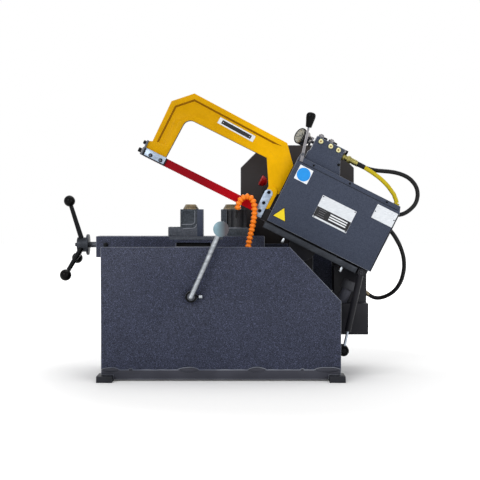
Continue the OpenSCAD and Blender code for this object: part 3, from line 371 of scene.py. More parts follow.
# A near-black finish paints the shade in gaps and in the vice's slot.
GAP_SHADE_BLACK = moulded("black_gap_painted_shade", "#0b0b0c", "#101011", 0.7)
DIAL_CARD = moulded("aged_dial_card", "#a0958b", "#857a70", 0.5)
SIGN_WHITE = moulded("white_sticker", "#e9ecef", "#dadde2", 0.4)
SIGN_BLUE = moulded("blue_sticker", "#1c8fe0", "#1a84d0", 0.4)
SIGN_YELLOW = moulded("yellow_sticker", "#eed21c", "#d9bd16", 0.4)
SIGN_GREY = moulded("grey_print", "#6a6a6e", "#5d5d61", 0.4)
SIGN_BLACK = moulded("black_print", "#17171a", "#222226", 0.4)


def clear_glass(name):
    """Window glass: clear, smooth and faintly green at its edge."""
    made, tree, surface, coords = blank(name, 0.03)
    smears = grains(tree, coords, 14, 0.4, 0.8)
    surface.inputs["Base Color"].default_value = linear("#f4faf7")
    surface.inputs["Transmission Weight"].default_value = 1.0
    surface.inputs["IOR"].default_value = 1.45
    glossed(tree, surface, smears, 0.02, 0.08)
    return made


CLEAR_GLASS = clear_glass("clear_glass")
print("finishes:", len(bpy.data.materials))

# %% [markdown]
# ## Working by hand, in millimetres
# Small pieces are modelled in millimetres at the origin and then put in place by a matrix that
# also turns millimetres into metres. `WORLD` places things on the base. `ARM` places things on
# the tilted arm: its first axis runs along the stroke, its third axis up from the blade.
# `AS_PLACED` leaves alone what is already where it belongs.

# %% Helpers for modelling and placing
WORLD = Matrix.Scale(MM, 4)
AS_PLACED = Matrix.Identity(4)
PIVOT = Vector((0.307, 0, 0.480))
TILT = math.radians(26.6)
ARM = Matrix.Translation(PIVOT) @ Matrix.Rotation(TILT, 4, "Y") @ WORLD
FACING = {"Z": (0, "X"), "-Z": (180, "X"), "X": (90, "Y"), "-X": (-90, "Y"), "Y": (-90, "X"), "-Y": (90, "X")}
BODIES = {name: body for body, names in frame["record"]["behaviour"]["bodies"].items() for name in names}


def only(piece=None):
    """Leaves one piece selected and active, or nothing."""
    bpy.ops.object.select_all(action="DESELECT")
    if piece:
        piece.select_set(True)
        bpy.context.view_layer.objects.active = piece


def picked(piece, kind, chosen):
    """Opens a piece in edit mode with just those corners, edges or faces selected that a test picks."""
    only(piece)
    bpy.ops.object.mode_set(mode="EDIT")
    bpy.ops.mesh.select_mode(type=kind)
    bpy.ops.mesh.select_all(action="DESELECT")
    bpy.ops.object.mode_set(mode="OBJECT")
    mesh = piece.data
    for part in {"VERT": mesh.vertices, "EDGE": mesh.edges, "FACE": mesh.polygons}[kind]:
        part.select = chosen(part)
    bpy.ops.object.mode_set(mode="EDIT")


def done_editing():
    """Goes back to object mode, with corners as the kind to select next."""
    bpy.ops.mesh.select_mode(type="VERT")
    bpy.ops.object.mode_set(mode="OBJECT")


def place(base, x, y, z, facing="Z", turn=0):
    """A place on the base or the arm where a piece's own Z axis faces one way, turned in degrees."""
    degrees, axis = FACING[facing]
    return (base @ Matrix.Translation((x, y, z)) @ Matrix.Rotation(math.radians(degrees), 4, axis)
            @ Matrix.Rotation(math.radians(turn), 4, "Z"))


def rounded(piece, width, segments=2, sharp_from=30):
    """Rounds a piece's sharp edges and shades its soft ones smooth."""
    only(piece)
    bevel = piece.modifiers.new("rounded_edges", "BEVEL")
    bevel.width = width
    bevel.segments = segments
    bevel.limit_method = "ANGLE"
    bevel.angle_limit = math.radians(sharp_from)
    bevel.material = len(piece.data.materials) - 1
    bpy.ops.object.modifier_apply(modifier=bevel.name)
    bpy.ops.object.shade_smooth_by_angle(angle=math.radians(38))
    return piece


def settle(piece, name, where, finish, body, replaced=()):
    """Puts a piece's place into its mesh, and gives it a name, a finish and a body."""
    piece.name = piece.data.name = name
    piece.matrix_world = where
    only(piece)
    bpy.ops.object.transform_apply(location=True, rotation=True, scale=True)
    piece.data.materials.clear()
    piece.data.materials.append(finish)
    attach(piece, body)
    if replaced:
        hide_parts(*replaced)
    return piece


def turned(profile, sides=32):
    """A turned piece about Z: a disc extruded and resized through steps of (radius, height)."""
    only()
    radius, height = profile[0]
    bpy.ops.mesh.primitive_circle_add(vertices=sides, radius=radius, fill_type="NGON", location=(0, 0, 0))
    piece = bpy.context.object
    bpy.ops.object.mode_set(mode="EDIT")
    bpy.ops.mesh.select_all(action="SELECT")
    bpy.ops.transform.translate(value=(0, 0, height))
    for wider, higher in profile[1:]:
        bpy.ops.mesh.extrude_region_move(TRANSFORM_OT_translate={"value": (0, 0, higher - height)})
        bpy.ops.transform.resize(value=(wider / radius, wider / radius, 1), center_override=(0, 0, higher))
        radius, height = wider, higher
    bpy.ops.mesh.select_all(action="SELECT")
    bpy.ops.mesh.normals_make_consistent(inside=False)
    bpy.ops.object.mode_set(mode="OBJECT")
    return piece


def slab(length, width, thick, middle=(0, 0)):
    """A flat bar or plate that stands on z = 0, with its middle at a point."""
    only()
    bpy.ops.mesh.primitive_cube_add(size=1, location=(*middle, thick / 2), scale=(length, width, thick))
    piece = bpy.context.object
    bpy.ops.object.transform_apply(location=True, rotation=True, scale=True)
    return piece


def joined(pieces):
    """Joins pieces into one."""
    only()
    for piece in pieces:
        piece.select_set(True)
    bpy.context.view_layer.objects.active = pieces[0]
    bpy.ops.object.join()
    return pieces[0]


def copied(piece, places):
    """Puts a copy of a modelled piece at each place and joins the copies into one piece."""
    made = []
    for where in places:
        twin = bpy.data.objects.new(piece.name, piece.data.copy())
        scene.collection.objects.link(twin)
        twin.data.transform(where)
        made.append(twin)
    bpy.data.objects.remove(piece)
    return joined(made)


# %% [markdown]
# ## Hoses
# Three hydraulic hoses carry oil between the valve block, the arm and the tank. Each keeps one
# length and bends in one soft curve between its two fittings. The two hoses that stay on the
# arm are curves. The return hose spans the arm's pivot; it is made as one mesh tube in place.

# %% Hose routes and tubes
HOSE_D = 16 * MM
YELLOW_Y, BLACK_Y, PORT_B = -52, -26, 370.5
YELLOW_ROUTE = [(17, PORT_B), (38, 370.8), (60, 369.8), (80, 368), (100, 366), (120, 363), (140, 359),
                (158, 354), (175, 348), (190, 341), (203, 334), (214, 328), (220, 322), (225.3, 317.7)]
BLACK_ROUTE = [(25, PORT_B), (48, 370.6), (72, 371.8), (95, 375.5), (118, 382), (141, 391), (164, 400),
               (187, 407), (211, 411), (235, 411), (258, 405), (277.8, 393.8), (292.5, 377.7), (301.4, 358),
               (304.4, 337), (300.8, 318), (294.3, 301.5), (286, 287.5), (276, 276.5), (261, 266)]
RETURN_ROUTE = [(631.6, -45, 545.2), (647, -45, 525.2), (659.8, -43.5, 504.5), (670.4, -39, 484.6),
                (679.3, -31.5, 463.5), (686.3, -21, 442), (690.7, -8.5, 419.5), (692.6, 5, 397.5),
                (691.6, 21, 376), (688, 39, 352), (681, 58, 330.9), (671, 76, 312.3), (658, 91, 297.8),
                (642, 104.5, 286.3), (624.5, 116, 278.6), (607, 124, 275.6), (590, 128.5, 279),
                (574.1, 130, 287.8)]


def hose(name, points, finish, diameter=HOSE_D):
    """A round hose along one smooth curve through points, and the length of that curve."""
    curve = bpy.data.curves.new(name, "CURVE")
    curve.dimensions = "3D"
    spline = curve.splines.new("BEZIER")
    spline.bezier_points.add(len(points) - 1)
    for knot, point in zip(spline.bezier_points, points):
        knot.co = point
        knot.handle_left_type = knot.handle_right_type = "AUTO"
    spline.resolution_u = 6
    curve.bevel_depth = diameter / 2
    curve.bevel_resolution = 6
    curve.use_fill_caps = True
    curve.materials.append(finish)
    piece = bpy.data.objects.new(name, curve)
    scene.collection.objects.link(piece)
    return piece, spline.calc_length()


def as_mesh(piece):
    """Turns a curve into a smooth mesh."""
    only(piece)
    bpy.ops.object.convert(target="MESH")
    bpy.ops.object.shade_smooth()
    return bpy.context.object


yellow_points = [ARM @ Vector((a, YELLOW_Y, b)) for a, b in YELLOW_ROUTE]
black_points = [ARM @ Vector((a, BLACK_Y, b)) for a, b in BLACK_ROUTE]
for name, replaced, points, finish, slot in [
        ("yellow_pressure_hose", "pressure_hose", yellow_points, YELLOW_RUBBER, "yellow_rubber"),
        ("black_feed_hose", "feed_hose", black_points, BLACK_RUBBER, "black_rubber")]:
    piece, length = hose(name, points, finish)
    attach(piece, "arm")
    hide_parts(replaced)
    print(name, "length", round(length, 3))

points = [WORLD @ Vector(point) for point in RETURN_ROUTE]
piece, length = hose("black_return_hose", points, BLACK_RUBBER)
piece = as_mesh(piece)
bpy.ops.object.shade_smooth_by_angle(angle=math.radians(40))
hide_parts("return_hose")
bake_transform(piece)
print("black_return_hose length", round(length, 3))

# %% [markdown]
# ## Finishing the solids
# Most of the machine's solids have the right shape, and a real casting or folded sheet differs
# from them in its edges: they are rounded, and paint wears thin there. Each solid is copied, its
# loose triangles are merged, flat faces are dissolved into one and the sharp edges are rounded.
# On most painted pieces, the rounded faces take a second, paler finish: rubbed paint, and also a
# painted highlight along the edge.

# %% A finished copy of a solid
def worn_edge_and_highlight(name, colour, roughness):
    """The paler paint of a rubbed edge, with small bare specks, which also paints the edge's highlight."""
    return smooth_enamel(name, colour, "#8b8f98", roughness)


# Paler edge paints: rubbed paint and a painted highlight on the rounded edges.
BASE_EDGE_HIGHLIGHT = worn_edge_and_highlight("rubbed_base_edge_and_highlight", "#585c69", 0.4)
ARM_EDGE_HIGHLIGHT = worn_edge_and_highlight("rubbed_arm_edge_and_highlight", "#5a5f6c", 0.38)
IRON_EDGE_HIGHLIGHT = worn_edge_and_highlight("rubbed_iron_edge_and_highlight", "#585d65", 0.42)
BLACK_EDGE_HIGHLIGHT = worn_edge_and_highlight("rubbed_black_edge_and_highlight", "#3b3c41", 0.4)
YELLOW_EDGE_HIGHLIGHT = smooth_enamel("rubbed_yellow_edge_and_highlight", "#dca805", "#cc9a04", 0.34, 0.16)


def solid_copy(name, finish, worn=None):
    """A copy of a solid with merged corners and whole flat faces, ready to be shaped."""
    piece = bpy.data.objects.new(name + "_finished", frame["nodes"][name].data.copy())
    scene.collection.objects.link(piece)
    piece.data.materials.clear()
    piece.data.materials.append(finish)
    if worn:
        piece.data.materials.append(worn)
    only(piece)
    bpy.ops.mesh.customdata_custom_splitnormals_clear()
    bpy.ops.object.mode_set(mode="EDIT")
    bpy.ops.mesh.select_all(action="SELECT")
    bpy.ops.mesh.remove_doubles(threshold=0.01 * MM)
    bpy.ops.mesh.dissolve_limited(angle_limit=math.radians(0.5))
    bpy.ops.object.mode_set(mode="OBJECT")
    for face in piece.data.polygons:
        face.material_index = 0
    return piece


def finished(piece, name, edge_mm, segments=2):
    """Rounds a solid's copy and puts it in the solid's place."""
    rounded(piece, edge_mm * MM, segments)
    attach(piece, BODIES[name])
    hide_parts(name)
    return piece


def repainted(piece, finish, base, chosen):
    """Gives a second finish to the faces that a test picks by their middle (in mm) and direction."""
    piece.data.materials.append(finish)
    to_mm = base.inverted()
    for face in piece.data.polygons:
        if chosen(to_mm @ face.center, (to_mm.to_3x3() @ face.normal).normalized()):
            face.material_index = len(piece.data.materials) - 1


# %% Sheet metal, castings and machined parts
DRESSED = {}
# The last column is the paler edge paint: rubbed paint and a painted highlight.
for name, finish, edge_mm, worn in [
        ("base_cabinet", BASE_ENAMEL, 1.2, BASE_EDGE_HIGHLIGHT), ("base_frame", FRAME_ENAMEL, 2.0, BASE_EDGE_HIGHLIGHT),
        ("foot_pads", PAD_ENAMEL, 6.0, None), ("pivot_pedestals", BLACK_ENAMEL, 2.0, BLACK_EDGE_HIGHLIGHT),
        ("pivot_bushes", BRONZE, 0.5, None), ("vice_bed", BASE_ENAMEL, 1.5, BASE_EDGE_HIGHLIGHT),
        ("fixed_jaw", IRON_ENAMEL, 3.0, IRON_EDGE_HIGHLIGHT), ("fixed_jaw_plate", IRON_ENAMEL, 1.0, IRON_EDGE_HIGHLIGHT),
        ("control_cabinet", CABINET_ENAMEL, 2.0, BLACK_EDGE_HIGHLIGHT),
        ("oil_tank", BLACK_ENAMEL, 2.0, None), ("filler_neck", FRAME_ENAMEL, 1.0, None),
        ("filler_cap", GREY_PLASTIC, 2.5, None), ("tank_fitting", CAP_BRONZE, 0.8, None),
        ("pump_motor", MOTOR_ENAMEL, 2.0, None), ("hydraulic_pump", DARK_STEEL, 1.5, None),
        ("lift_lug", BLACK_ENAMEL, 1.5, BLACK_EDGE_HIGHLIGHT), ("stop_guide", BLACK_STEEL, 1.0, None),
        ("coolant_valve", BRASS, 1.0, None), ("moving_jaw", IRON_ENAMEL, 3.0, None),
        ("moving_jaw_plate", ARM_ENAMEL, 1.0, None),
        ("vice_nut", DARK_STEEL, 1.0, None), ("vice_screw", DARK_STEEL, 0.8, None),
        ("vice_handle", BLACK_STEEL, 1.5, None), ("handle_balls", KNOB_PLASTIC, 0.5, None),
        ("stop_sleeve", DARK_STEEL, 0.6, None), ("stop_arm", GALVANISED, 2.4, None),
        ("stop_lock_screw", BLACK_STEEL, 0.8, None), ("arm_casting", BLACK_ENAMEL, 2.5, BLACK_EDGE_HIGHLIGHT),
        ("arm_cover", ARM_ENAMEL, 1.2, ARM_EDGE_HIGHLIGHT), ("slide_rail", RAIL_STEEL, 1.0, None),
        ("upper_gib", DARK_STEEL, 0.8, None), ("gib_screws", PLATED_STEEL, 0.8, None),
        ("pivot_shaft", GROUND_STEEL, 1.5, None), ("drive_cylinder", DEEP_BLACK, 1.0, BLACK_EDGE_HIGHLIGHT),
        ("valve_block", ARM_ENAMEL, 1.5, ARM_EDGE_HIGHLIGHT),
        ("lever_bracket", DARK_STEEL, 0.6, None),
        ("hose_fittings", YELLOW_ZINC, 0.8, None), ("stop_switch_box", BLACK_PLASTIC, 2.5, None),
        ("valve_lever", GROUND_STEEL, 0.6, None),
        ("ram", DEEP_BLACK, 1.0, BLACK_EDGE_HIGHLIGHT), ("drive_piston", GROUND_STEEL, 0.6, None),
        ("front_holder", CLAMP_STEEL, 0.8, None),
        ("rear_clamp", CLAMP_STEEL, 1.0, None),
        ("lift_barrel", BLACK_ENAMEL, 1.0, None), ("lift_rod", GROUND_STEEL, 0.8, None),
        ]:
    DRESSED[name] = finished(solid_copy(name, finish, worn), name, edge_mm)
print("solids finished:", len(DRESSED))

# %% [markdown]
# Some solids carry more than one finish. The stop's disc is dull on its face, with a painted
# highlight drifting across it, the lock screw has a bright tip, the lift rod's eye is black, and the
# jaws and the end of the blade holder change tone where they are rubbed or oiled. The handle's hub is
# painted a paler steel as a painted highlight. The hoses' lower ends are moulded in the hose's own
# rubber, and the vice's slot is painted black as painted shade. The moving jaw is cut at the top of
# its foot first, so that the foot can take a finish of its own.

# %% Second finishes
FOOT_CUT_Z, FOOT_TOP_Z, JAW_SHOULDER_Z = 553, 548, 560
VICE_Y, SCREW_Z, HUB_R = 53.5, 487, 41
DISC_FACE_Y, LOCK_TIP_X, ROD_EYE_Z, HOLDER_END_A = -254.5, -78, 115, -695
YELLOW_END_A, BLACK_END_A, COVER_TOP_B = 200, 250, 296
SLOT_X, SLOT_Y, SLOT_Z = (-176, 0), (-2, 60), (470, 512)


def between(value, limits):
    """Whether a value lies between two limits."""
    return limits[0] < value < limits[1]


only(DRESSED["moving_jaw"])
bpy.ops.object.mode_set(mode="EDIT")
bpy.ops.mesh.select_all(action="SELECT")
bpy.ops.mesh.bisect(plane_co=(0, 0, FOOT_CUT_Z * MM), plane_no=(0, 0, 1))
bpy.ops.object.mode_set(mode="OBJECT")
SECOND_FINISHES = [
    # The disc's dull face carries a painted highlight.
    ("stop_arm", DULL_ZINC_PAINTED_HIGHLIGHT, WORLD, lambda at, way: at.y < DISC_FACE_Y and way.y < -0.98),
    ("fixed_jaw", DARK_IRON, WORLD, lambda at, way: at.z > JAW_SHOULDER_Z),
    ("moving_jaw", PALE_IRON, WORLD, lambda at, way: at.z < FOOT_TOP_Z),
    # Painted highlight: the handle's hub takes a paler steel than its black arms.
    ("vice_handle", RAIL_STEEL, WORLD, lambda at, way: math.hypot(at.y - VICE_Y, at.z - SCREW_Z) < HUB_R),
    ("stop_lock_screw", PLATED_STEEL, WORLD, lambda at, way: at.x > LOCK_TIP_X),
    ("lift_rod", BLACK_STEEL, WORLD, lambda at, way: at.z < ROD_EYE_Z),
    ("front_holder", DARK_STEEL, ARM, lambda at, way: at.x < HOLDER_END_A),
    ("hose_fittings", YELLOW_RUBBER, ARM, lambda at, way: at.x > YELLOW_END_A and at.z > COVER_TOP_B),
    ("hose_fittings", BLACK_RUBBER, ARM, lambda at, way: at.x > BLACK_END_A and at.z < COVER_TOP_B),
    # Painted shade: the slot in the vice bed is painted black.
    ("vice_bed", GAP_SHADE_BLACK, WORLD,
     lambda at, way: between(at.x, SLOT_X) and between(at.y, SLOT_Y) and between(at.z, SLOT_Z))]
for name, finish, base, chosen in SECOND_FINISHES:
    repainted(DRESSED[name], finish, base, chosen)
print("second finishes:", len(SECOND_FINISHES))

# %% [markdown]
# On the arm, some corners also move to where the real machine has them. The two fittings on the
# cover's end wall draw back into the cover, the valve block's right side slopes in with its fittings
# close to it, and the rear clamp reaches below the blade. Each line holds a solid, how far its
# corners move in millimetres, and which corners they are.

# %% Moved corners
WALL_FITTING_A, BLOCK_FITTING_A = 255, 100
BLOCK_SIDE_A, BLOCK_SIDE_B, CLAMP_FOOT_B = -6, 350, 45
MOVED_CORNERS = [
    ("hose_fittings", (-32, 0, 0), lambda at: at.x > WALL_FITTING_A and at.z < COVER_TOP_B),
    ("hose_fittings", (-25, 0, 4.5), lambda at: at.x < BLOCK_FITTING_A),
    ("valve_block", (-24, 0, -28), lambda at: at.x > BLOCK_SIDE_A and at.z > BLOCK_SIDE_B),
    ("rear_clamp", (0, 0, -14), lambda at: at.z < CLAMP_FOOT_B)]
for name, way, chosen in MOVED_CORNERS:
    for corner in DRESSED[name].data.vertices:
        at = ARM.inverted() @ corner.co
        if chosen(at):
            corner.co = ARM @ (at + Vector(way))
print("solids reshaped:", len({name for name, way, chosen in MOVED_CORNERS}))

# %% [markdown]
# ## Yellow bow
# The cast bow has a shallow pocket on both sides. Its outer wall is steep and is painted a darker
# yellow as painted shade, while towards the throat it runs out in a gentle slope. So the pocket's
# corners are moved: on the rim towards the throat, and on the web away from it. The throat's edge is
# painted darker still, as painted shade. The list has each corner of the solid's pocket, and then its
# new places on the rim and on the web.

# %% Bow with a soft pocket
RIM_SIDES, NEAR = (-49, -9), 1
POCKET = {(-668, 258.5): [(-668, 258.5), (-660.5, 255.3)], (-665, 121): [(-669, 105), (-661.5, 112)],
          (-639, 121): [(-629, 112), (-643, 119)], (-639, 208): [(-629, 209), (-643, 209.7)],
          (-583, 264): [(-582, 256), (-584.7, 268)], (-239.5, 264): [(-239.5, 252), (-279.5, 268)],
          (-239.5, 303): [(-239.5, 303), (-279.5, 296.9)], (-613.5, 313): [(-613.5, 313), (-610.5, 305.5)]}
bow = solid_copy("bow", YELLOW_ENAMEL_PAINTED_LIGHT, YELLOW_EDGE_HIGHLIGHT)
moved = 0
for corner in bow.data.vertices:
    at = ARM.inverted() @ corner.co
    for (a, b), (rim, web) in POCKET.items():
        if math.hypot(at.x - a, at.z - b) < NEAR:
            on_rim = any(abs(at.y - side) < NEAR for side in RIM_SIDES)
            along, over = rim if on_rim else web
            corner.co = ARM @ Vector((along, at.y, over))
            moved += 1
            break
finished(bow, "bow", 3.0)
print("pocket corners moved:", moved)

# %% Painted shade on the pocket's outer wall and on the throat's edge
WALL_LAYERS = [(-48.2, -41.2), (-16.8, -9.8)]
WALL_A, WALL_B = (-675, -235), (100, 316)
LEG_WALL_A, LEG_WALL_B, BEAM_WALL_B = -650, 130, 272
THROAT_A, THROAT_B = (-614, -245), (85, 242)


def outer_wall(at, way):
    """Whether a face is on the steep outer wall of a pocket, in the front leg or in the beam."""
    in_layer = any(between(at.y, layer) for layer in WALL_LAYERS)
    in_pocket = between(at.x, WALL_A) and between(at.z, WALL_B)
    outer = at.x < LEG_WALL_A and at.z > LEG_WALL_B or at.z > BEAM_WALL_B
    return abs(way.y) < 0.86 and in_layer and in_pocket and outer


def throat_edge(at, way):
    """Whether a face looks into the throat."""
    in_throat = between(at.x, THROAT_A) and between(at.z, THROAT_B)
    return in_throat and abs(way.y) < 0.8 and (way.z < -0.3 or way.x > 0.3)


# Painted shade: the pocket's steep outer wall and the throat's edge take darker yellows.
repainted(bow, SHADE_PAINTED_YELLOW, ARM, outer_wall)
repainted(bow, DEEP_SHADE_PAINTED_YELLOW, ARM, throat_edge)
print("finishes on the bow:", len(bow.data.materials))

# %% [markdown]
# ## Screws, plugs and nuts
# Socket screws and plugs are turned from bar and have a six-sided key hole. The hole starts as
# an inset of the round top, and its ring of corners is then pulled onto a hexagon. Each head is
# turned by a different angle, as a fitter leaves them.

# %% A head with a key hole
def keyed_head(width, height, key, depth, chamfer=0.8):
    """A turned head on z = 0 with a hexagon key hole in its top."""
    piece = turned([(width / 2, 0), (width / 2, height - chamfer), (width / 2 - chamfer, height),
                    (key / 2, height), (key / 2, height - depth)], 24)
    for corner in piece.data.vertices:
        reach = math.hypot(corner.co.x, corner.co.y)
        if abs(reach - key / 2) < 0.01:
            swing = (math.atan2(corner.co.y, corner.co.x) % math.radians(60)) - math.radians(30)
            pull = math.cos(math.radians(30)) / math.cos(swing)
            corner.co.x *= pull
            corner.co.y *= pull
    return piece


def hex_head(flats, height):
    """A six-sided head on z = 0 with its upper corners turned off."""
    corner = flats / 2 / math.cos(math.radians(30))
    return rounded(turned([(corner, 0), (corner, height * 0.85), (corner * 0.9, height)], 6), 0.25, 1)


# %% Blade clamp screws and tension bolts
PLATE_FRONT, HOLDER_B, BOLT_Y = -57, 53, -29
FRONT_HEAD_D, REAR_HEAD_D, HEAD_H, KEY, KEY_DEPTH = 15, 13, 5, 7, 3.2
UPPER_BOLT_HEAD, LOWER_BOLT_HEAD = (13, 13), (17, 14)
SCREW_HIGHLIGHT, HIGHLIGHT_LEFT, HIGHLIGHT_DOWN = [(4.4, 0), (4.4, 0.4)], 1.2, 0.8
FRONT_SCREWS_A, FRONT_SCREWS_B = (-666.5, -624.5), 51.3
REAR_SCREWS_A, REAR_SCREWS_B = -208.5, (49, 82, 126)
UPPER_BOLT, LOWER_BOLT = (-702, BOLT_Y, 86), (-705.5, BOLT_Y, HOLDER_B)
front_heads = copied(keyed_head(FRONT_HEAD_D, HEAD_H, KEY, KEY_DEPTH),
                     [place(ARM, a, PLATE_FRONT, FRONT_SCREWS_B, "-Y", 10 * a) for a in FRONT_SCREWS_A])
rear_heads = copied(keyed_head(REAR_HEAD_D, HEAD_H, KEY, KEY_DEPTH),
                    [place(ARM, REAR_SCREWS_A, PLATE_FRONT, b, "-Y", 7 * b) for b in REAR_SCREWS_B])
upper_bolt = copied(hex_head(*UPPER_BOLT_HEAD), [place(ARM, *UPPER_BOLT, "-X", 88)])
lower_bolt = copied(hex_head(*LOWER_BOLT_HEAD), [place(ARM, *LOWER_BOLT, "-X", 54)])
clamp_screws = joined([rear_heads, front_heads, upper_bolt, lower_bolt])
settle(clamp_screws, "blade_clamp_screws", AS_PLACED, BLACK_STEEL, "saw_bow", ["clamp_screws"])
# Painted highlight: a grey disc on each front screw head, set a little off its middle.
faces = copied(rounded(turned(SCREW_HIGHLIGHT, 24), 0.1, 1),
               [place(ARM, a - HIGHLIGHT_LEFT, PLATE_FRONT - HEAD_H, FRONT_SCREWS_B - HIGHLIGHT_DOWN, "-Y")
                for a in FRONT_SCREWS_A])
settle(faces, "clamp_screw_painted_highlights", AS_PLACED, DARK_STEEL, "saw_bow")
print("clamp screws made")

# %% Joints of the front holder, and black strips that darken its edges
SHIM, SHIM_AT = (3.5, 30, 47), (-703.75, -9.5, HOLDER_B)
LOWER_EDGE, LOWER_EDGE_AT = (83, 4.5, 0.4), (-649, PLATE_FRONT, 40.4)
BLADE_SIDE, BLADE_SIDE_AT = (5, 29, 5.6), (-606.4, -51.2, HOLDER_B)
JOINT, JOINT_A = (7, 29.5, 0.6), -693.5
shim = rounded(slab(*SHIM), 0.5, 1)
settle(shim, "tension_end_shim", place(ARM, *SHIM_AT, "-Y"), LEVER_STEEL, "saw_bow")
# Black strips darken the holder's lower edge and paint the shade in the gap at the blade's side.
edges = joined([copied(rounded(slab(*LOWER_EDGE), 0.1, 1), [place(ARM, *LOWER_EDGE_AT, "-Y")]),
                copied(rounded(slab(*BLADE_SIDE), 0.2, 1), [place(ARM, *BLADE_SIDE_AT, "-Y")])])
settle(edges, "holder_dark_edge_and_gap_shade", AS_PLACED, DEEP_BLACK, "saw_bow")
joint = rounded(slab(*JOINT), 0.15, 1)
settle(joint, "clamp_joint_strip", place(ARM, JOINT_A, PLATE_FRONT, HOLDER_B, "-Y"), DEEP_BLACK, "saw_bow")
print("blade holder made")

# %% Valve plugs and top nuts
BLOCK_FRONT, BLOCK_TOP, TOP_ROW_Y = -72, 395, -44
PLUGS_A, PLUGS_B = (-121, -80, -48), 381
NUTS_A, CAPS_A = (-126, -84), (-108, -67)
SIDE_NUT_Y, RIGHT_NUT_A, RIGHT_NUT_B = -58, -26.5, 387.5
LEFT_NUT_A, LEFT_NUT_B, SIDE_NUT_H = -148, 374, 7
SCREW_A, SCREW_B = -22.5, 333
PLUG_HEAD, CAP_HEAD, SCREW_HEAD = (18, 6, 8, 3.5, 1.2), (14, 9, 6, 4), (11, 1.2, 6.5, 1)
TOP_NUT_HEAD, SIDE_NUT_W, END_NUT_H = (21, 11), 17, 8
SOCKET, SOCKET_OUT, STUD = [(3.6, 0), (3.6, 0.3)], 2.6, [(7, 0), (7, 14), (5.5, 15)]
plugs = copied(keyed_head(*PLUG_HEAD),
               [place(ARM, a, BLOCK_FRONT, PLUGS_B, "-Y", 9 * a) for a in PLUGS_A])
settle(plugs, "brass_valve_plugs", AS_PLACED, PALE_BRASS, "arm", ["valve_plugs"])
sockets = copied(rounded(turned(SOCKET, 6), 0.1, 1),
                 [place(ARM, a, BLOCK_FRONT - SOCKET_OUT, PLUGS_B, "-Y", 9 * a) for a in PLUGS_A])
settle(sockets, "valve_plug_sockets", AS_PLACED, BRONZE, "arm")
nuts = copied(hex_head(*TOP_NUT_HEAD), [place(ARM, a, TOP_ROW_Y, BLOCK_TOP, "Z", a) for a in NUTS_A])
studs = copied(rounded(turned(STUD, 24), 0.4),
               [place(ARM, a, TOP_ROW_Y, BLOCK_TOP) for a in NUTS_A])
side_nuts = copied(hex_head(SIDE_NUT_W, SIDE_NUT_H),
                   [place(ARM, RIGHT_NUT_A, SIDE_NUT_Y, RIGHT_NUT_B, "X", 10),
                    place(ARM, LEFT_NUT_A, SIDE_NUT_Y, LEFT_NUT_B, "-X", 20)])
settle(joined([nuts, studs, side_nuts]), "valve_block_nuts", AS_PLACED, LEVER_STEEL, "arm")
caps = copied(rounded(keyed_head(*CAP_HEAD), 0.3, 1),
              [place(ARM, a, TOP_ROW_Y, BLOCK_TOP) for a in CAPS_A])
end_nut = copied(hex_head(SIDE_NUT_W, END_NUT_H),
                 [place(ARM, RIGHT_NUT_A + SIDE_NUT_H, SIDE_NUT_Y, RIGHT_NUT_B, "X", 10)])
settle(joined([caps, end_nut]), "valve_block_caps", AS_PLACED, BLACK_STEEL, "arm")
settle(keyed_head(*SCREW_HEAD), "valve_block_screw", place(ARM, SCREW_A, BLOCK_FRONT, SCREW_B, "-Y"),
       BLACK_STEEL, "arm")
print("screws and plugs made")

# %% [markdown]
# ## Saw blade
# The blade is a strip of high speed steel, enamelled red, with raked teeth cut into its lower edge.
# A grid gives two columns for each tooth; every second lower corner is pushed up and back.

# %% Toothed blade
BLADE_L, BLADE_W, BLADE_T, TEETH, BLADE_ROWS = 480, 31.5, 2, 76, 8
BLADE_AT = (-448, -50, 52.2)
TOOTH_RAKE, TOOTH_DEPTH = 1.6, 2.2
only()
bpy.ops.mesh.primitive_grid_add(x_subdivisions=2 * TEETH, y_subdivisions=BLADE_ROWS, size=1)
blade = bpy.context.object
bpy.ops.object.mode_set(mode="EDIT")
bpy.ops.mesh.select_all(action="SELECT")
bpy.ops.transform.resize(value=(BLADE_L, BLADE_W, 1), center_override=(0, 0, 0))
done_editing()


def tooth_gap(corner):
    """Whether a corner of the lower edge lies between two tips."""
    column = round((corner.co.x + BLADE_L / 2) / BLADE_L * 2 * TEETH)
    return corner.co.y < -BLADE_W / 2 + 0.1 and column % 2 == 1


picked(blade, "VERT", tooth_gap)
bpy.ops.transform.translate(value=(TOOTH_RAKE, TOOTH_DEPTH, 0))
done_editing()
thick = blade.modifiers.new("blade_thickness", "SOLIDIFY")
thick.thickness = BLADE_T
thick.offset = 0
bpy.ops.object.modifier_apply(modifier=thick.name)
settle(blade, "toothed_blade", place(ARM, *BLADE_AT, "-Y"), RED_ENAMEL_PAINTED_LIGHT, "saw_bow",
       ["saw_blade"])
print("blade teeth:", TEETH)

# %% [markdown]
# ## Coolant hose
# The orange hose is a chain of snap-together acetal links. One link is turned with its ball and
# collar, and copies follow the route, each turned to face along it.

# %% Links along the route
LINK_PITCH, LINK_LAP = 15.2, 0.6
COOLANT_Y = -80
COOLANT_ROUTE = [(98, 462), (99, 482), (102, 502), (106, 521), (111, 541), (115, 560), (119, 580), (122, 600),
                 (123, 620), (122, 640), (117, 658), (103, 671), (84, 670), (69, 659), (62, 641), (59, 622)]
NOZZLE = [(6.5, 0), (6.5, 6), (5.2, 8), (4.4, 20), (2.6, 31), (2.5, 32), (1.4, 32), (1.4, 28)]
route = [Vector((x, COOLANT_Y, z)) for x, z in COOLANT_ROUTE]
reaches = [0.0]
for start, end in zip(route, route[1:]):
    reaches.append(reaches[-1] + (end - start).length)


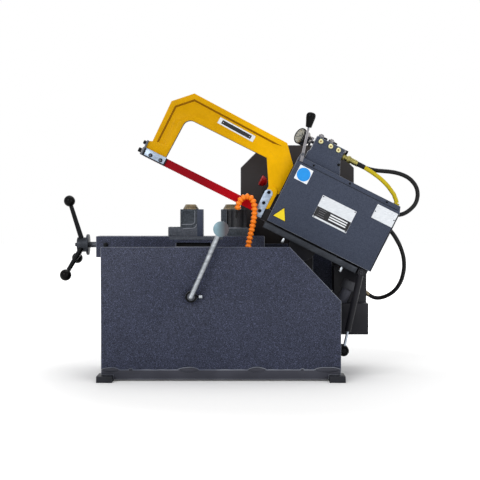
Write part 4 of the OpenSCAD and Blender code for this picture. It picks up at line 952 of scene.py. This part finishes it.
def along_route(reach):
    """The point of the coolant route at a length from its start."""
    for start, end, low, high in zip(route, route[1:], reaches, reaches[1:]):
        if reach <= high:
            return start.lerp(end, max(reach - low, 0) / (high - low))
    return route[-1]


def aimed(at, way):
    """A place in millimetres where a piece's own Z axis points along a direction."""
    return WORLD @ Matrix.Translation(at) @ way.to_track_quat("Z", "Y").to_matrix().to_4x4()


links = round(reaches[-1] / LINK_PITCH)
pitch = reaches[-1] / links
LINK = [(6.4, 0), (7.2, 0.7), (8.6, 2.4), (10.8, 4.6), (11.6, 7.2), (11.5, 9.8), (10.2, 12.2), (8.2, 13.6),
        (7.2, pitch + LINK_LAP)]
places = []
for i in range(links):
    low, high = along_route(i * pitch), along_route((i + 1) * pitch)
    places.append(aimed(low, high - low))
settle(copied(rounded(turned(LINK, 20), 0.3), places), "coolant_hose_links", AS_PLACED, ORANGE_PLASTIC,
       "base", ["coolant_hose"])
settle(rounded(turned(NOZZLE, 20), 0.3), "coolant_jet", aimed(route[-1], route[-1] - route[-2]),
       BLACK_PLASTIC, "base", ["coolant_nozzle"])
print("coolant links:", links)

# %% [markdown]
# ## Knob, stop button and gauge
# These are all turned shapes. The gauge is a pressed steel case with a stepped rim, an aged card
# with strokes, a pointer and a clear window. It stands on an adapter beside the valve block.

# %% Lever knob and stop button
LEVER_AT, LEVER_LEAN, GRIP_FROM = (-160, -77.1, 307), -14.4, 103
BUTTON_AT = (-230, 138, 159)
GRIP = [(7.5, 0), (10.6, 0.4), (11.4, 3), (12.6, 10), (14.7, 22), (16.8, 33), (17.8, 40), (17.9, 44),
        (17.2, 48.5), (15.2, 52.5), (11.5, 55.4), (6, 57)]
BUTTON = [(11.9, -5.5), (11.9, 6.4), (16.6, 6.8), (18.4, 13), (20.5, 20), (21, 22), (21, 24.5), (20, 26.3),
          (17, 27.4), (11, 27.9), (5, 28)]
LEVER = place(ARM, *LEVER_AT) @ Matrix.Rotation(math.radians(LEVER_LEAN), 4, "Y")
settle(rounded(turned(GRIP, 40), 0.6, 2, 45), "lever_grip", place(LEVER, 0, 0, GRIP_FROM), KNOB_PLASTIC,
       "lever", ["lever_knob"])
settle(rounded(turned(BUTTON, 40), 0.6, 2, 45), "mushroom_stop_button", place(ARM, *BUTTON_AT, "-X"),
       RED_PLASTIC, "button", ["stop_button"])
print("knob and button made")

# %% Flat lever
BAR_W, BAR_T, BAR_L, BAR_Y, BAR_FROM, FOOT_SPREAD = 8.5, 4, 126, -9.5, -27, 1.5
PIN_HEAD = (12, 3, 5, 1.5)
bar = slab(BAR_W, BAR_T, BAR_L, (0, BAR_Y))
picked(bar, "VERT", lambda corner: corner.co.z < 1)
bpy.ops.transform.resize(value=(FOOT_SPREAD, 1, 1), center_override=(0, 0, 0))
done_editing()
settle(rounded(bar, 1.2), "flat_valve_lever", place(LEVER, 0, 0, BAR_FROM), LEVER_STEEL, "lever")
pin = rounded(keyed_head(*PIN_HEAD), 0.2, 1)
settle(pin, "lever_pivot_pin", place(LEVER, 0, BAR_Y - BAR_T / 2, 0, "-Y"), DARK_STEEL, "lever")
print("lever made")

# %% Pressure gauge
GAUGE_AT, GAUGE_SWING, CASE_BACK = (-189, -28, 369), -53, -14
ADAPTER_AT = (-158.5, -28, 347)
CARD_FACE, STROKE_R, STROKE_STEP, POINTER_TURN = 24.8, 21.5, 27, 118
CASE = [(26, 0), (30.4, 1.5), (30.6, 20.6), (26, 20.6)]
STEM = [(7, 0), (7, 26), (10.4, 26.4), (10.4, 38), (7, 38.4), (7, 47)]
ADAPTER = [(8, 0), (9.5, 1), (9.5, 14), (7.5, 15), (7.5, 22), (9.5, 23), (9.5, 38), (8, 39)]
CARD, WINDOW = [(26.4, 24.2), (26.4, CARD_FACE)], [(27.2, 26.6), (27.2, 27.4)]
STROKE, POINTER, POINTER_LIFT = (1.0, 5.0, 0.25), (1.4, 22, 0.4, (0, 8)), 0.5
POINTER_HUB = [(3.2, CARD_FACE), (3.2, 26)]
BEZEL = [(30, 20.4), (31.5, 20.6), (31.5, 26.5), (30, 28), (27.4, 28), (26.6, 24.5)]
GAUGE = place(place(ARM, *GAUGE_AT, "Z", GAUGE_SWING), 0, 0, 0, "-Y") @ Matrix.Translation((0, 0, CASE_BACK))


def spun(degrees, along, over):
    """A place on the dial, turned about its middle."""
    return place(AS_PLACED, 0, 0, 0, "Z", degrees) @ Matrix.Translation((0, along, over))


case = rounded(turned(CASE, 48), 0.5)
case.data.transform(GAUGE)
stem = rounded(turned(STEM, 6), 0.4)
stem.data.transform(place(ARM, *GAUGE_AT, "X"))
settle(joined([case, stem]), "pressure_gauge_case", AS_PLACED, CHROME, "arm",
       ["pressure_gauge"])
settle(rounded(turned(ADAPTER, 8), 0.5), "gauge_adapter", place(ARM, *ADAPTER_AT), CHROME, "arm")
settle(rounded(turned(BEZEL, 48), 0.4), "gauge_bezel", GAUGE, BLACK_PLASTIC, "arm")
settle(turned(CARD, 48), "gauge_dial", GAUGE, DIAL_CARD, "arm")
strokes = copied(slab(*STROKE), [spun(i * STROKE_STEP, STROKE_R, CARD_FACE) for i in range(-5, 6)])
pointer = copied(slab(*POINTER), [spun(POINTER_TURN, 0, CARD_FACE + POINTER_LIFT)])
hub = turned(POINTER_HUB, 20)
settle(joined([strokes, pointer, hub]), "gauge_pointer", GAUGE, SIGN_BLACK, "arm")
window = rounded(turned(WINDOW, 48), 0.2)
settle(window, "gauge_window", GAUGE, CLEAR_GLASS, "arm")
print("gauge made")

# %% [markdown]
# ## Vice jaws
# A faceted bronze cap closes the top of each jaw. The moving jaw is a casting with a panel whose
# lower corner is rounded and a soft rib where the upright meets the foot. The ribs wear the paler edge
# paint, a painted highlight along the panel's right and lower sides and along the foot.

# %% Faceted caps
CAP, CAP_Z = [(30.5, 0), (30, 2), (20.8, 18.2), (20, 19), (15.5, 19), (14, 15.5)], 623
for name, x, body in [("fixed_jaw_cap", 34, "base"), ("moving_jaw_cap", -120, "jaw")]:
    settle(rounded(turned(CAP, 8), 0.9), name + "_faceted", place(WORLD, x, VICE_Y, CAP_Z), CAP_BRONZE, body,
           [name])
print("jaw caps made")

# %% Jaw ribs and foot screws
RIB_Y, RIB_D, FOOT_HEAD = -2.6, 4, (7, 2.5, 3.4, 1.6)
BED_FRONT, FOOT_SCREWS_X, FOOT_SCREWS_Z = -3, (-196, -182), 526
RIBS = {"moving_jaw_panel_rib": [(-103, 618), (-103, 600), (-103, 582), (-104.5, 572), (-111, 566.5),
                                 (-122, 565), (-138, 565), (-153, 565)],
        "moving_jaw_foot_rib": [(-97, 566), (-98.5, 558), (-104, 553), (-114, 550.5), (-132, 549.5),
                                (-148, 548)]}
# Painted highlight: the ribs take the paler edge paint.
for name, points in RIBS.items():
    rib, length = hose(name, [WORLD @ Vector((x, RIB_Y, z)) for x, z in points], IRON_EDGE_HIGHLIGHT, RIB_D * MM)
    settle(as_mesh(rib), name, AS_PLACED, IRON_EDGE_HIGHLIGHT, "jaw")
foot_heads = copied(rounded(keyed_head(*FOOT_HEAD), 0.2, 1),
                    [place(WORLD, x, BED_FRONT, FOOT_SCREWS_Z, "-Y", x) for x in FOOT_SCREWS_X])
settle(foot_heads, "moving_jaw_foot_screws", AS_PLACED, DARK_STEEL, "jaw")
print("jaw details made")

# %% [markdown]
# A rubbed strip shows where the jaw slides on the bed, a dark hex head at the cabinet's corner paints
# the shade there, and the screw's end stands out of the handle's hub.

# %% Slide strip, screw end and painted shade at the bed's corner
STRIP_X, STRIP_Z, SCREW_END_X, SHADE_HEAD_X, SHADE_HEAD_Z = -98, 513.6, -555.5, -441, 488
STRIP, SHADE_HEAD_SIZE, SCREW_END = (204, 12, 1.0), (17, 5), [(7, 0), (7, 8), (5.5, 10)]
strip = rounded(slab(*STRIP), 0.3, 1)
settle(strip, "jaw_slide_strip", place(WORLD, STRIP_X, BED_FRONT, STRIP_Z, "-Y"), PALE_IRON, "base")
screw_end = rounded(turned(SCREW_END, 24), 0.4)
settle(screw_end, "vice_screw_end", place(WORLD, SCREW_END_X, VICE_Y, SCREW_Z, "-X"), RAIL_STEEL,
       BODIES["vice_handle"])
# Painted shade: a black hex head where the cabinet's corner shades the bed.
settle(hex_head(*SHADE_HEAD_SIZE), "bed_corner_shade_head", place(WORLD, SHADE_HEAD_X, BED_FRONT, SHADE_HEAD_Z, "-Y"), BLACK_STEEL,
       "base")
print("bed details made")

# %% Pins of the lift cylinder
TOP_PIN_AT, FOOT_PIN_AT = (520.7, -75, 386.4), (456, -79, 93)
TOP_PIN, FOOT_PIN = [(6, 0), (6, 2.5), (4.5, 3.6)], [(10.5, 0), (10.5, 2), (9, 3.2)]
top_pin = rounded(turned(TOP_PIN, 24), 0.3)
settle(top_pin, "lift_top_pin", place(WORLD, *TOP_PIN_AT, "-Y"), PLATED_STEEL, "arm")
foot_pin = rounded(turned(FOOT_PIN, 24), 0.3)
settle(foot_pin, "lift_foot_pin", place(WORLD, *FOOT_PIN_AT, "-Y"), BLACK_STEEL, "base")
print("lift pins made")

# %% [markdown]
# ## Plates and stickers
# The plates are plain aluminium with rivets, and two of them have a dark field. The stickers are a
# blue disc on a white square and a yellow triangle on a black one. A low boss on the bow carries
# the rear blade clamp, and it is made in the same way as a plate.

# %% Plates and rivets
COVER_FRONT, BOW_FRONT, WEB_FRONT = -85, -49, -41
PLATE_T, FIELD_T, LINE_T, STICKER_T = 1.2, 0.2, 0.15, 0.4


def plate(name, a, across, b, length, height, thick, finish, body, turn=0, corner=1.5):
    """A thin plate with rounded corners on a surface of the arm that faces the operator."""
    piece = slab(length, height, thick)

    def upright(edge):
        low, high = (piece.data.vertices[i].co for i in edge.vertices)
        return abs(low.x - high.x) < 0.01 and abs(low.y - high.y) < 0.01

    picked(piece, "EDGE", upright)
    bpy.ops.mesh.bevel(offset=corner, segments=4)
    done_editing()
    rounded(piece, thick * 0.25, 1, 60)
    return settle(piece, name, place(ARM, a, across, b, "-Y", turn), finish, body)


def rivets(name, a, across, b, length, height, size, body="arm", turn=0, finish=DARK_STEEL):
    """Domed rivets in the corners of a plate, or in the middle of its ends where the height is 0."""
    dome = turned([(size / 2, 0), (size / 2, size * 0.2), (size * 0.36, size * 0.38),
                   (size * 0.14, size * 0.46)], 12)
    rows = (-height / 2, height / 2) if height else (0,)
    spots = [Matrix.Translation((x, y, 0)) for x in (-length / 2, length / 2) for y in rows]
    heads = copied(rounded(dome, 0.05, 1), spots)
    return settle(heads, name, place(ARM, a, across, b, "-Y", turn), finish, body)


# %% Name plate and mark plate
NAME_A, NAME_B, NAME_L, NAME_H, RIVET_INSET = 45, 162, 140, 90, 9
FIELD_B, FIELD_L, FIELD_H = 142.5, 139, 38
LINES_A, LINES_B, LINE_L, LINE_H = 68, (153, 144, 135), 70, 4.6
FAINT_A, FAINT_B, FAINT_L, FAINT_STEP, FAINT_H = 1, (155, 147, 139, 131), 30, 4, 1.6
MARK_A, MARK_B, MARK_L, MARK_H, MARK_RIVETS_L = 214.5, 240, 85, 56, 77
PLATE_FACE = COVER_FRONT - PLATE_T
FIELD_FACE = PLATE_FACE - FIELD_T
plate("blank_name_plate", NAME_A, COVER_FRONT, NAME_B, NAME_L, NAME_H, PLATE_T, ALUMINIUM, "arm")
rivets("name_plate_rivets", NAME_A, PLATE_FACE, NAME_B, NAME_L - RIVET_INSET, NAME_H - RIVET_INSET, 5)
plate("name_plate_dark_field", NAME_A, PLATE_FACE, FIELD_B, FIELD_L, FIELD_H, FIELD_T, SIGN_BLACK, "arm",
      corner=0.5)
for row, b in enumerate(LINES_B):
    plate(f"name_plate_blank_line_{row + 1}", LINES_A, FIELD_FACE, b, LINE_L, LINE_H, LINE_T, SIGN_WHITE,
          "arm", corner=0.4)
for row, b in enumerate(FAINT_B):
    plate(f"name_plate_faint_line_{row + 1}", FAINT_A, FIELD_FACE, b, FAINT_L - FAINT_STEP * (row % 3),
          FAINT_H, LINE_T, SIGN_GREY, "arm", corner=0.3)
plate("blank_mark_plate", MARK_A, COVER_FRONT, MARK_B, MARK_L, MARK_H, PLATE_T, ALUMINIUM, "arm")
rivets("mark_plate_rivets", MARK_A, PLATE_FACE, MARK_B, MARK_RIVETS_L, 0, 4.6)
print("plates made")

# %% Stickers
SQUARE_A, SQUARE_B, SQUARE_L, SQUARE_H = -123.5, 242, 54, 56
TRIANGLE_A, TRIANGLE_B, BLACK_R, YELLOW_R = -132, 70, 33, 28
DISC_R, PRINT_T = 25.5, 0.3
STICKER_FACE = COVER_FRONT - STICKER_T
plate("white_sticker_square", SQUARE_A, COVER_FRONT, SQUARE_B, SQUARE_L, SQUARE_H, STICKER_T, SIGN_WHITE,
      "arm", corner=2)
disc = rounded(turned([(DISC_R, 0), (DISC_R, PRINT_T)], 48), 0.1, 1)
settle(disc, "blue_sticker_disc", place(ARM, SQUARE_A, STICKER_FACE, SQUARE_B, "-Y"), SIGN_BLUE, "arm")
black = rounded(turned([(BLACK_R, 0), (BLACK_R, STICKER_T)], 3), 0.12, 1)
settle(black, "black_sticker_triangle", place(ARM, TRIANGLE_A, COVER_FRONT, TRIANGLE_B, "-Y"), SIGN_BLACK,
       "arm")
yellow = rounded(turned([(YELLOW_R, 0), (YELLOW_R, PRINT_T)], 3), 0.1, 1)
settle(yellow, "yellow_sticker_triangle", place(ARM, TRIANGLE_A, STICKER_FACE, TRIANGLE_B, "-Y"), SIGN_YELLOW,
       "arm")
print("stickers made")

# %% Boss and plate of the bow
BOSS_A, BOSS_B, BOSS_L, BOSS_H, BOSS_T, BOSS_CORNER = -199, 108, 40, 88, 5, 17
BEAM_A, BEAM_B, BEAM_L, BEAM_H, BEAM_TURN = -422.5, 282, 151, 25, -2
BEAM_FIELD_L, BEAM_FIELD_H, BEAM_RIVETS_L = 124, 15, 112
BEAM_FACE = WEB_FRONT - PLATE_T
plate("bow_clamp_boss", BOSS_A, BOW_FRONT, BOSS_B, BOSS_L, BOSS_H, BOSS_T, YELLOW_ENAMEL_PAINTED_LIGHT, "saw_bow",
      corner=BOSS_CORNER)
plate("beam_plate", BEAM_A, WEB_FRONT, BEAM_B, BEAM_L, BEAM_H, PLATE_T, ALUMINIUM, "saw_bow", BEAM_TURN)
plate("beam_plate_dark_field", BEAM_A, BEAM_FACE, BEAM_B, BEAM_FIELD_L, BEAM_FIELD_H, FIELD_T, SIGN_BLACK,
      "saw_bow", BEAM_TURN, 0.5)
rivets("beam_plate_rivets", BEAM_A, BEAM_FACE - FIELD_T, BEAM_B, BEAM_RIVETS_L, 0, 4, "saw_bow", BEAM_TURN,
       PLATED_STEEL)
print("bow plate made")

# %% [markdown]
# ## Cover lid
# The cover's lid is a second sheet that laps over the front by some seventeen millimetres, held by
# round-headed screws. It is made as a thin strip, with a black strip under it as painted shade in the
# gap. The cover's end is folded over, and a black strip down its front paints the shade on that fold.

# %% Lap of the lid and its screws
LID_L, LID_A, LID_B, LAP_H, LAP_T = 418, 41, 297, 16.5, 1.8
LAP_DROP, GAP_DROP, GAP_H, GAP_T = 0.3, 1.4, 1.8, 0.25
LAP_B, GAP_B = LID_B - LAP_H / 2 - LAP_DROP, LID_B - LAP_H - GAP_DROP
END_SHADE, PAN_HEAD = (4, 236, 0.3), (7.5, 3, 3.6, 1.6, 0.9)
END_SHADE_A, END_SHADE_B, LID_SCREWS_A, LID_SCREWS_B = 259.4, 150, (-105, 45, 199), 288.5
lap = rounded(slab(LID_L, LAP_H, LAP_T), 0.6)
settle(lap, "cover_lid_lap", place(ARM, LID_A, COVER_FRONT, LAP_B, "-Y"), ARM_ENAMEL, "arm")
# Painted shade: a black strip in the gap under the lap.
gap = rounded(slab(LID_L, GAP_H, GAP_T), 0.05, 1)
settle(gap, "cover_lid_gap_shade", place(ARM, LID_A, COVER_FRONT, GAP_B, "-Y"), GAP_SHADE_BLACK, "arm")
# Painted shade: a black strip down the cover's folded end.
end_shade = rounded(slab(*END_SHADE), 0.08, 1)
settle(end_shade, "cover_end_painted_shade", place(ARM, END_SHADE_A, COVER_FRONT, END_SHADE_B, "-Y"), DEEP_BLACK, "arm")
pan_heads = copied(rounded(keyed_head(*PAN_HEAD), 0.25, 1),
                   [place(ARM, a, COVER_FRONT - LAP_T, LID_SCREWS_B, "-Y", a) for a in LID_SCREWS_A])
settle(pan_heads, "cover_lid_screws", AS_PLACED, BLACK_STEEL, "arm")
print("cover lid made")

# %% [markdown]
# ## Welds along the base
# Short runs of weld tie the front sheet to the base frame. A run is a row of overlapped ripples, so
# one squashed ball is copied along it, largest in the middle. A thin pale bead follows the joint and
# climbs over each run: a painted highlight along the frame's top edge.

# %% Weld runs
JOINT_Z, WELD_FRONT, RIPPLE_STEP, WELD_H = 41, -200.4, 4.4, 9.5
RIPPLE_SIZE, LEAST_RIPPLE = (5.4, 3.6, WELD_H), 0.3
RUN_FULLNESS, UNEVEN, UNEVEN_STEP = 0.6, 0.07, 5.3
WELD_RUNS = [(-434, -368, 0.9), (-334, -320, 0.6), (-155, -79, 1.0), (96, 165, 1.0), (288, 300, 0.5),
             (338, 434, 1.0)]
only()
bpy.ops.mesh.primitive_uv_sphere_add(segments=12, ring_count=6, radius=1)
ripple = bpy.context.object
bpy.ops.object.mode_set(mode="EDIT")
bpy.ops.mesh.select_all(action="SELECT")
bpy.ops.transform.resize(value=RIPPLE_SIZE, center_override=(0, 0, 0))
bpy.ops.object.mode_set(mode="OBJECT")
bpy.ops.object.shade_smooth()


def weld_size(x):
    """Size of the weld at a place along the base, from 0 between runs to 1 in the middle of one."""
    for start, end, size in WELD_RUNS:
        if start < x < end:
            return size * math.sin(math.pi * (x - start) / (end - start)) ** RUN_FULLNESS
    return 0.0


spots = []
for start, end, size in WELD_RUNS:
    count = max(3, round((end - start) / RIPPLE_STEP))
    for i in range(count):
        x = start + (end - start) * (i + 0.5) / count
        swell = weld_size(x) * (1 + UNEVEN * math.sin(UNEVEN_STEP * i))
        spots.append(place(WORLD, x, WELD_FRONT, JOINT_Z) @ Matrix.Scale(max(swell, LEAST_RIPPLE), 4))
settle(copied(ripple, spots), "base_weld_runs", AS_PLACED, FRAME_ENAMEL, "base")
print("weld ripples:", len(spots))

# %% Pale bead of painted highlight
LIT_BEAD_FROM, LIT_BEAD_TO, LIT_BEAD_STEPS, LIT_BEAD_D = -433, 433, 120, 2.4
LIT_BEAD_OUT, LIT_BEAD_LIFT, WAVE_H, WAVE_STEP = 2.2, 0.4, 0.5, 0.11
line = []
for i in range(LIT_BEAD_STEPS + 1):
    x = LIT_BEAD_FROM + (LIT_BEAD_TO - LIT_BEAD_FROM) * i / LIT_BEAD_STEPS
    climb = weld_size(x)
    over = JOINT_Z + LIT_BEAD_LIFT + WELD_H * climb + WAVE_H * math.sin(WAVE_STEP * x)
    line.append(WORLD @ Vector((x, WELD_FRONT - LIT_BEAD_OUT * climb, over)))
# The bead's pale colour is a painted highlight along the top edge of the frame.
lit_bead, length = hose("joint_highlight_bead", line, BASE_EDGE_HIGHLIGHT, LIT_BEAD_D * MM)
settle(as_mesh(lit_bead), "joint_highlight_bead", AS_PLACED, BASE_EDGE_HIGHLIGHT, "base")
print("sealer points:", len(line))

# %% [markdown]
# ## Hose ends
# Each hydraulic hose ends in a crimped sleeve behind a six-sided nut. The sleeve is turned with
# the three grooves that the crimping press leaves. The yellow hose starts in a black guard.

# %% Crimped sleeves and nuts
SLEEVE = [(8.2, 0), (10.2, 0.8), (10.4, 5), (9.5, 6), (9.5, 8), (10.4, 9), (10.4, 12), (9.5, 13), (9.5, 15),
          (10.4, 16), (10.4, 19), (9.5, 20), (9.5, 22), (10.2, 23), (8.3, 27)]
GUARD = [(8.1, 0), (9, 0.6), (9, 30), (8.1, 31)]
SLEEVE_LEAD, GUARD_LEAD, HOSE_NUT_HEAD = 4, -22, (24, 11)
HOSE_NUTS = [(-24, YELLOW_Y), (-3, YELLOW_Y), (-24, BLACK_Y), (5, BLACK_Y)]


def hose_end(points, lead):
    """Place of a sleeve that starts a little before a hose's first point and runs along it."""
    aim = (points[2] - points[0]).normalized()
    return aimed((points[0] - aim * lead * MM) / MM, aim)


sleeves = copied(rounded(turned(SLEEVE, 24), 0.25, 1),
                 [hose_end(points, SLEEVE_LEAD) for points in (yellow_points, black_points)])
settle(sleeves, "hose_sleeves", AS_PLACED, YELLOW_ZINC, "arm")
settle(rounded(turned(GUARD, 24), 0.25, 1), "yellow_hose_guard", hose_end(yellow_points, GUARD_LEAD),
       BLACK_RUBBER, "arm")
hose_nuts = copied(hex_head(*HOSE_NUT_HEAD), [place(ARM, a, y, PORT_B, "X") for a, y in HOSE_NUTS])
settle(hose_nuts, "hose_nuts", AS_PLACED, YELLOW_ZINC, "arm")
print("hose ends made")

# %% [markdown]
# ## Back and sides
# The control cabinet has a door on its outer side: a groove runs round it, with two hinges on one
# edge and a quarter-turn lock on the other. The groove is cut by insets that step in and out again.

# %% Door, hinges and lock
DOOR_STEPS = [(12, 0), (0.4, -3), (2.2, 0), (0.4, 3)]
HINGE = [(5.5, 0), (5.5, 46), (4.2, 47.5), (4.2, 48.5), (5.5, 50), (5.5, 96)]
HINGE_X, HINGE_Y, HINGES_Z, LOCK_AT = 520, 282, (352, 700), (71, 262, 560)
LOCK = [(11, 0), (11, 2.4), (9.6, 4), (4, 4), (4, 2.5)]
cabinet = DRESSED["control_cabinet"]
back = max(cabinet.data.polygons, key=lambda face: face.area * (face.normal.y > 0.9)).index
picked(cabinet, "FACE", lambda face: face.index == back)
for thickness, depth in DOOR_STEPS:
    bpy.ops.mesh.inset(thickness=thickness * MM, depth=depth * MM)
done_editing()
hinges = copied(rounded(turned(HINGE, 24), 0.4, 1), [place(WORLD, HINGE_X, HINGE_Y, z) for z in HINGES_Z])
settle(hinges, "cabinet_hinges", AS_PLACED, DARK_STEEL, "base")
lock = rounded(turned(LOCK, 32), 0.3, 1)
settle(lock, "cabinet_lock", place(WORLD, *LOCK_AT, "-X"), PLATED_STEEL, "base")
print("cabinet door made")
